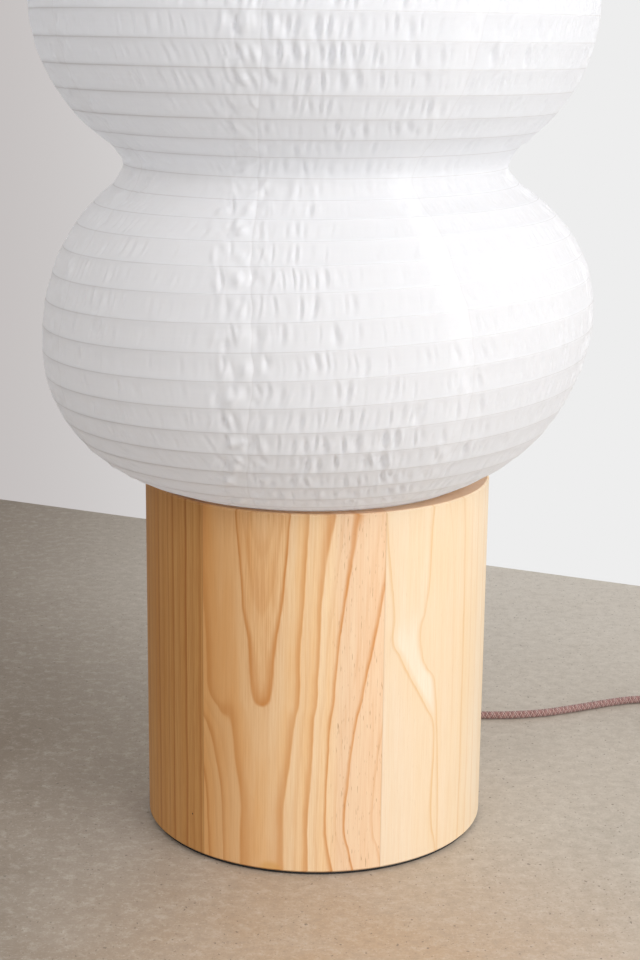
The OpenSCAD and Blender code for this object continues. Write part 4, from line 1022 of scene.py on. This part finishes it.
# puffs and dents beside seam k, each a bell with a shallow ring round it; away is metres to its right
def seamLift(k, rows, away, c):
    k = k % lantern["gores"]
    chance = np.random.default_rng(90 + k)
    strength = c["strength"].get(k, c["otherStrength"])
    perGap = lantern["rows"]
    lift = np.zeros_like(away)
    for gap in range(gaps):
        first, last = max((gap - 1) * perGap, 0), min((gap + 2) * perGap + 1, len(rows))
        height = stations[gap, 1] + 0.008     # near the gap's middle
        atNeck = max(math.exp(-((height - n) / lantern["neckReach"]) ** 2) for n in necks)
        lively = chance.uniform(0.35, 1.35) * strength * (1 + 0.5 * atNeck)
        for count, place, spread, wide, tall, rises in c["folds"]:
            for n in range(count):
                a, middle = place + chance.normal(0, spread), gap + chance.uniform(0.22, 0.78)
                w, h = chance.uniform(*wide), chance.uniform(*tall)
                up, slant = chance.uniform(*rises) * lively, chance.normal(0, 0.004)
                rise = (rows[first:last] - middle)[:, None]
                q = ((away[first:last] - a - slant * rise) / w) ** 2 + (rise / h) ** 2
                lift[first:last] += up * (np.exp(-q) - 0.35 * np.exp(-q / 2.6))
        # gathered folds that fan out from the seam at a neck
        if atNeck > 0.5:
            for n in range(c["neckFolds"]):
                a, w = chance.uniform(-0.012, 0.040), chance.uniform(0.0022, 0.0045)
                rise = (rows[first:last] - gap - chance.uniform(0.2, 0.8))[:, None]
                slanted = away[first:last] - a - chance.normal(0, 0.009) * rise
                q = (slanted / w) ** 2 + (rise / 0.75) ** 2
                up = chance.uniform(0.0012, 0.0030) * strength
                lift[first:last] += up * (np.exp(-q) - 0.5 * np.exp(-q / 3))
    # the stitches draw the cloth in, and so does the edge of the fold under it
    stitches = 0.00030 * np.exp(-(away / 0.0012) ** 2)
    foldEdge = 0.00018 * np.exp(-((away + clothLook["tape"]) / 0.0010) ** 2)
    return lift * np.exp(-(away / 0.04) ** 4) - (stitches + foldEdge) * strength


# one gore: a grid from seam to seam and from hem to hem; u is metres across, v counts the wires
def makeGore(k, c):
    rows = np.arange(gaps * c["rows"] + 1) / c["rows"]
    r, z = (np.interp(rows, np.arange(len(stations)), stations[:, i])[:, None] for i in (0, 1))
    left, right = seamTurn(k, z), seamTurn(k + 1, z)
    left = np.where(left > right, left - 360, left)
    columns = c["columns"].get(k, c["rearColumns"])
    share = np.linspace(0, 1, columns + 1)[None]
    turn = left + (right - left) * share
    fromLeft, fromRight = np.radians(turn - left) * r, np.radians(right - turn) * r
    strength = puckerStrength((turn + 180) % 360 - 180, z, puckerLook)
    lift = puckerLift(k, rows, fromLeft, fromRight, puckerLook) * strength
    lift += seamLift(k, rows, fromLeft, seamLook) + seamLift(k + 1, rows, -fromRight, seamLook)
    arch = np.sin(np.pi * (rows - np.floor(rows)))[:, None]
    ends = np.clip(rows, 0, 1) * np.clip(gaps - rows, 0, 1)
    lift = (lift * (0.45 + 0.55 * arch) - c["sag"] * arch) * ends[:, None]
    points = clothPoint(turn, rows[:, None], lift, c)
    surface = np.stack(np.broadcast_arrays((share - 0.5) * c["goreWidth"], rows[:, None]), -1)
    gore = meshFrom("clothGore%d" % (k + 1), points, gridQuads(len(rows), columns + 1),
                    {"surface": surface, "edge": np.stack([fromLeft, fromRight], -1)})
    wear(gore, materials["cloth"])
    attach(gore, "lantern")
    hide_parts("gore_%d" % (k + 1))
    return gore


# a ring of round wire that follows the cloth at a row, inside it
def ringPoints(turn, row, inside, wire, sides, c):
    angle = np.linspace(0, 2 * np.pi, sides + 1)[:-1][None, :, None]
    middle = clothPoint(turn, row, -inside, c)[:, None]
    outward = np.stack([np.sin(np.radians(turn)), -np.cos(np.radians(turn)), np.zeros_like(turn)], -1)
    return middle + wire / 2 * (np.cos(angle) * outward[:, None] + np.sin(angle) * np.array([0, 0, 1.0]))


# faces of such a ring: the last circle joins the first
def ringQuads(count, sides, start=0):
    r, s = np.meshgrid(np.arange(count), np.arange(sides), indexing="ij")
    here, side = r * sides + s, r * sides + (s + 1) % sides
    nextHere, nextSide = (r + 1) % count * sides + s, (r + 1) % count * sides + (s + 1) % sides
    return start + np.stack([here, nextHere, nextSide, side], -1).reshape(-1, 4)


def makeLantern(c):
    for k in range(c["gores"]):
        makeGore(k, c)
    print("gores made")
    turn = np.linspace(-180, 180, c["ringSteps"] + 1)[:-1]
    inside = c["cloth"] + c["wireGap"]
    sides = c["wireSides"]
    hoops = [ringPoints(turn, row, inside + c["wire"] / 2, c["wire"], sides, c) for row in range(1, gaps)]
    hoopQuads = [ringQuads(len(turn), sides, n * len(turn) * sides) for n in range(len(hoops))]
    pieces = [("ribHoops", "rib_hoops", "rib_wire", np.concatenate(hoops), np.vstack(hoopQuads))]
    for name, node, row in (("hemRing", "bottom_ring", c["hemRow"]), ("mouthRing", "top_ring", float(gaps))):
        points = ringPoints(turn, row, inside + c["ring"] / 2, c["ring"], c["ringSides"], c)
        pieces.append((name, node, "ring_wire", points, ringQuads(len(turn), c["ringSides"])))
    for name, node, slotName, points, quads in pieces:
        piece = meshFrom(name, points, quads)
        wear(piece, materials[slotName])
        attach(piece, "lantern")
        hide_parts(node)
    print("hoops and rings made")


# light and dark tone and roughness; after them, where a finish differs from the usual one, its fine and
# broad scale, bump, depth of the bump and share of metal, or for a brushed one the run of its streaks
materials = {
    "board": boardMaterial(boardLook),
    "foam": grainedMaterial("foam", (0.035, 0.035, 0.035), (0.012, 0.012, 0.012), 0.9, 700, 60, 0.6, 0.0006),
    "ballast": grainedMaterial("cast iron", (0.12, 0.12, 0.125), (0.06, 0.06, 0.065), 0.6, 900, 25, 0.5,
                               0.0004, 0.7),
    "zinc_screws": brushedMaterial("zinc plate", (0.72, 0.70, 0.62), (0.56, 0.55, 0.50), 0.36),
    "black_steel": grainedMaterial("black steel", (0.05, 0.05, 0.052), (0.025, 0.025, 0.027), 0.4, metal=0.8),
    "white_plastic": grainedMaterial("white moulding", (0.80, 0.79, 0.75), (0.74, 0.73, 0.69), 0.5),
    "switch_plastic": grainedMaterial("satin moulding", (0.83, 0.82, 0.79), (0.78, 0.77, 0.74), 0.34, 1800,
                                      50, 0.06),
    "braid": braidMaterial(braidLook),
    "white_lead": grainedMaterial("white sheath", (0.82, 0.82, 0.79), (0.76, 0.76, 0.73), 0.5),
    "nickel": brushedMaterial("satin nickel", (0.76, 0.74, 0.70), (0.64, 0.62, 0.58), 0.3),
    "holder_shell": grainedMaterial("phenolic shell", (0.88, 0.87, 0.83), (0.83, 0.82, 0.78), 0.25, 1500,
                                    40, 0.05),
    "porcelain": grainedMaterial("porcelain", (0.90, 0.89, 0.86), (0.85, 0.84, 0.81), 0.2, 900, 50, 0.04),
    "opal_glass": opalMaterial(opalLook),
    "bulb_cap": brushedMaterial("pressed cap", (0.80, 0.79, 0.75), (0.68, 0.67, 0.63), 0.3, (300, 300, 900)),
    "cloth": clothMaterial(clothLook),
    "rib_wire": grainedMaterial("coated wire", (0.80, 0.80, 0.79), (0.72, 0.72, 0.71), 0.4),
    "ring_wire": grainedMaterial("coated ring", (0.84, 0.84, 0.83), (0.78, 0.78, 0.77), 0.35),
    "brass": brushedMaterial("brass blade", (0.80, 0.62, 0.32), (0.68, 0.52, 0.26), 0.28, (700, 40, 700)),
    "spring_steel": brushedMaterial("spring wire", (0.70, 0.70, 0.70), (0.55, 0.55, 0.55), 0.3),
}
for number in staveLooks:
    materials["pine %d" % number] = pineMaterial(number, pineLook)
print("materials made:", len(materials))


# the nodes carried over from the drawing
for part in frame["record"]["subparts"]:
    node, slotName = nodes[part["node"]], part["material_slot"]
    chosen = materials["pine %s" % part["node"][-1]] if slotName == "pine" else materials[slotName]
    for place in node.material_slots:
        place.material = chosen
wear(cord, materials["braid"])


makeLantern(lantern)


# floor and wall, in metres
stageLook = {
    "floorHalf": 7,
    "floorPale": (0.495, 0.445, 0.380),
    "floorDark": (0.400, 0.355, 0.297),
    # painted shadow of the drum and lantern, on the left
    "floorPaintedShadow": (0.098, 0.050, 0.012),
    # painted light, behind on the right
    "floorPaintedLight": (0.59, 0.550, 0.490),
    "floorPaintedReflection": (0.49, 0.31, 0.17),         # painted warm reflection of the drum, in front of it
    "reflectionAt": (0.05, -0.30, 0),
    "reflectionReach": 0.33,
    "blotch": (0.53, 0.485, 0.425),
    "mottleDark": (0.27, 0.225, 0.18),
    "mottlePale": (0.72, 0.68, 0.61),
    "speckDark": (0.22, 0.18, 0.14),
    "speckPale": (0.76, 0.72, 0.65),
    "pit": (0.12, 0.095, 0.075),
    "scratch": (0.80, 0.76, 0.69),
    "wallPaint": (0.85, 0.85, 0.85, 1),
    "wallPaintedLight": (0.855, 0.855, 0.855),     # painted light, as the camera sees it, on the right
    "wallPaintedShadow": (0.546, 0.515, 0.509),        # painted shadow of the lamp, as the camera sees it, on the left
    "wallFrom": (-2.4, 1.901),               # the wall's foot, seen from above
    "wallTo": (1.0, 0.331),
    "wallHeight": 3.2,
}


# polished concrete: cloudy, with fine specks and a few scratches
def floorMaterial(c):
    material, tree, shader, out = newMaterial("polished concrete", {"Specular IOR Level": 0.4})
    place = objectPlace(tree)
    x, y = splitPlace(tree, place)[:2]
    cloudy = noiseOf(tree, place, 3.0, 4.0, 0.6)
    blotch = noiseOf(tree, place, 14.0, 4.0, 0.65)
    mottle = noiseOf(tree, place, 95.0, 4.0, 0.75)
    specks = noiseOf(tree, place, 480.0, 2.0, 0.7)
    pits = noiseOf(tree, mapped(tree, place, location=(4, 7, 1), scale=(1.0, 0.75, 1)), 330.0, 1.0, 0.5)
    colour = mixColour(tree, remap(tree, cloudy, 0.3, 0.7), c["floorPale"], c["floorDark"])
    # broad painted light and shade: a painted shadow on the left, painted light behind on the right, and a
    # painted warm reflection of the drum in front of it
    left = remap(tree, x, -0.48, 0.12, 0.86, 0.0, smooth=True)
    colour = mixColour(tree, left, colour, c["floorPaintedShadow"])
    # painted light: paler floor behind, on the lit right
    far = maths(tree, "MULTIPLY", remap(tree, y, 0.15, 0.65), remap(tree, x, -0.4, 0.25, 0.22, 0.85))
    colour = mixColour(tree, far, colour, c["floorPaintedLight"])
    # painted reflection: the drum's warm colour on the polished floor in front of it
    front = addNode(tree, "ShaderNodeVectorMath", {0: place, 1: c["reflectionAt"]}, operation="DISTANCE")
    warm = remap(tree, front.outputs["Value"], 0.0, c["reflectionReach"], 0.70, 0.0, smooth=True)
    colour = mixColour(tree, warm, colour, c["floorPaintedReflection"])
    for pattern, none, full, share, tint in (
            (blotch, 0.4, 0.75, 0.25, "blotch"), (mottle, 0.5, 0.7, 0.30, "mottleDark"),
            (mottle, 0.5, 0.32, 0.22, "mottlePale"), (specks, 0.58, 0.74, 0.5, "speckDark"),
            (specks, 0.40, 0.26, 0.35, "speckPale"), (pits, 0.69, 0.74, 0.65, "pit")):
        colour = mixColour(tree, remap(tree, pattern, none, full, 0.0, share), colour, c[tint])
    # scratches: thin bands of stretched noise at two slants
    for slant, shift in ((0.5, 3.0), (-0.9, 8.0)):
        stretched = mapped(tree, place, location=(shift, 1, 0), rotation=(0, 0, slant), scale=(5, 260, 1))
        fromMiddle = maths(tree, "SUBTRACT", noiseOf(tree, stretched, 1.0, 0.0), 0.5)
        thin = remap(tree, maths(tree, "ABSOLUTE", fromMiddle), 0.0, 0.006, 0.22, 0.0)
        some = remap(tree, noiseOf(tree, mapped(tree, place, location=(shift, 0, 0)), 7.0, 1.0), 0.56, 0.66)
        colour = mixColour(tree, maths(tree, "MULTIPLY", thin, some), colour, c["scratch"])
    link(tree, colour, shader.inputs["Base Color"])
    link(tree, remap(tree, blotch, 0.3, 0.7, 0.42, 0.6), shader.inputs["Roughness"])
    bumpInto(tree, shader, specks, 0.1, 0.0004)
    return material


# the wall is seen from its front only; to the camera it glows softly, a painted glow that is paler on the
# right and carries a painted shadow of the lamp on the left
def wallMaterial(c):
    material, tree, shader, out = newMaterial("wall", {"Roughness": 0.9, "Specular IOR Level": 0.1,
                                                      "Base Color": c["wallPaint"]})
    x = splitPlace(tree, objectPlace(tree))[0]
    bumpInto(tree, shader, noiseOf(tree, objectPlace(tree), 300.0, 2.0), 0.05, 0.0002)
    paintedShadow = remap(tree, x, -0.52, 0.22, 1.0, 0.0, smooth=True)
    glow = addNode(tree, "ShaderNodeEmission", {"Color": mixColour(tree, paintedShadow, c["wallPaintedLight"], c["wallPaintedShadow"])})
    direct = addNode(tree, "ShaderNodeLightPath").outputs["Is Camera Ray"]
    front = addNode(tree, "ShaderNodeMixShader", {0: direct, 1: shader.outputs[0], 2: glow.outputs[0]})
    clear = addNode(tree, "ShaderNodeBsdfTransparent")
    back = addNode(tree, "ShaderNodeNewGeometry").outputs["Backfacing"]
    both = addNode(tree, "ShaderNodeMixShader", {0: back, 1: front.outputs[0], 2: clear.outputs[0]})
    link(tree, both.outputs[0], out.inputs["Surface"])
    return material


def makeStage(c):
    half, high = c["floorHalf"], c["wallHeight"]
    (x0, y0), (x1, y1) = c["wallFrom"], c["wallTo"]
    floorCorners = [(-half, -half, 0), (half, -half, 0), (half, half, 0), (-half, half, 0)]
    wallCorners = [(x0, y0, 0), (x1, y1, 0), (x1, y1, high), (x0, y0, high)]
    for name, corners, material in (("floor", floorCorners, floorMaterial(c)),
                                    ("wall", wallCorners, wallMaterial(c))):
        piece = meshFrom(name, corners, [(0, 1, 2, 3)], smooth=False)
        wear(piece, material)


lightSettings = {
    "distance": 2.6,
    "target": (0.0, 0.0, 0.5),
    # turn to the viewer's right, height angle, watts, size and colour of each lamp
    "lamps": {
        "low": (50, 10, 31, 1.4, (0.985, 0.99, 1.0)),
        "key": (50, 35, 18, 1.4, (0.985, 0.99, 1.0)),
        "spot": (25, 30, 11.5, 0.8, (0.985, 0.99, 1.0)),
        "fill": (-35, 35, 8, 1.6, (0.985, 0.99, 1.0)),
    },
    "world": 0.62,
    "worldColour": (1.0, 0.985, 0.98, 1),
    "backdrop": (0.86, 0.86, 0.86, 1),      # what the camera sees past the wall
}


# square lamps on a sphere round the target, and an even world
def makeLights(c):
    for name, (turn, rise, watts, size, colour) in c["lamps"].items():
        turn, rise = math.radians(turn), math.radians(rise)
        level = math.cos(rise)
        toward = Vector((math.sin(turn) * level, -math.cos(turn) * level, math.sin(rise)))
        data = bpy.data.lights.new(name, "AREA")
        data.shape, data.size = "SQUARE", size
        data.energy, data.color = watts, colour
        lamp = bpy.data.objects.new(name, data)
        lamp.location = Vector(c["target"]) + c["distance"] * toward
        lamp.rotation_mode = "QUATERNION"
        lamp.rotation_quaternion = (-toward).to_track_quat("-Z", "Y")
        bpy.context.scene.collection.objects.link(lamp)
    world = bpy.data.worlds.new("studio")
    world.use_nodes = True
    tree = world.node_tree
    tree.nodes.clear()
    light = addNode(tree, "ShaderNodeBackground", {"Color": c["worldColour"], "Strength": c["world"]})
    seen = addNode(tree, "ShaderNodeBackground", {"Color": c["backdrop"], "Strength": 1.0})
    path = addNode(tree, "ShaderNodeLightPath")
    direct = maths(tree, "MAXIMUM", path.outputs["Is Camera Ray"], path.outputs["Is Transmission Ray"])
    both = addNode(tree, "ShaderNodeMixShader", {0: direct, 1: light.outputs[0], 2: seen.outputs[0]})
    addNode(tree, "ShaderNodeOutputWorld", {0: both.outputs[0]})
    bpy.context.scene.world = world


makeStage(stageLook)
makeLights(lightSettings)
bpy.context.scene.view_settings.view_transform = "Standard"
print("stage and lights made")
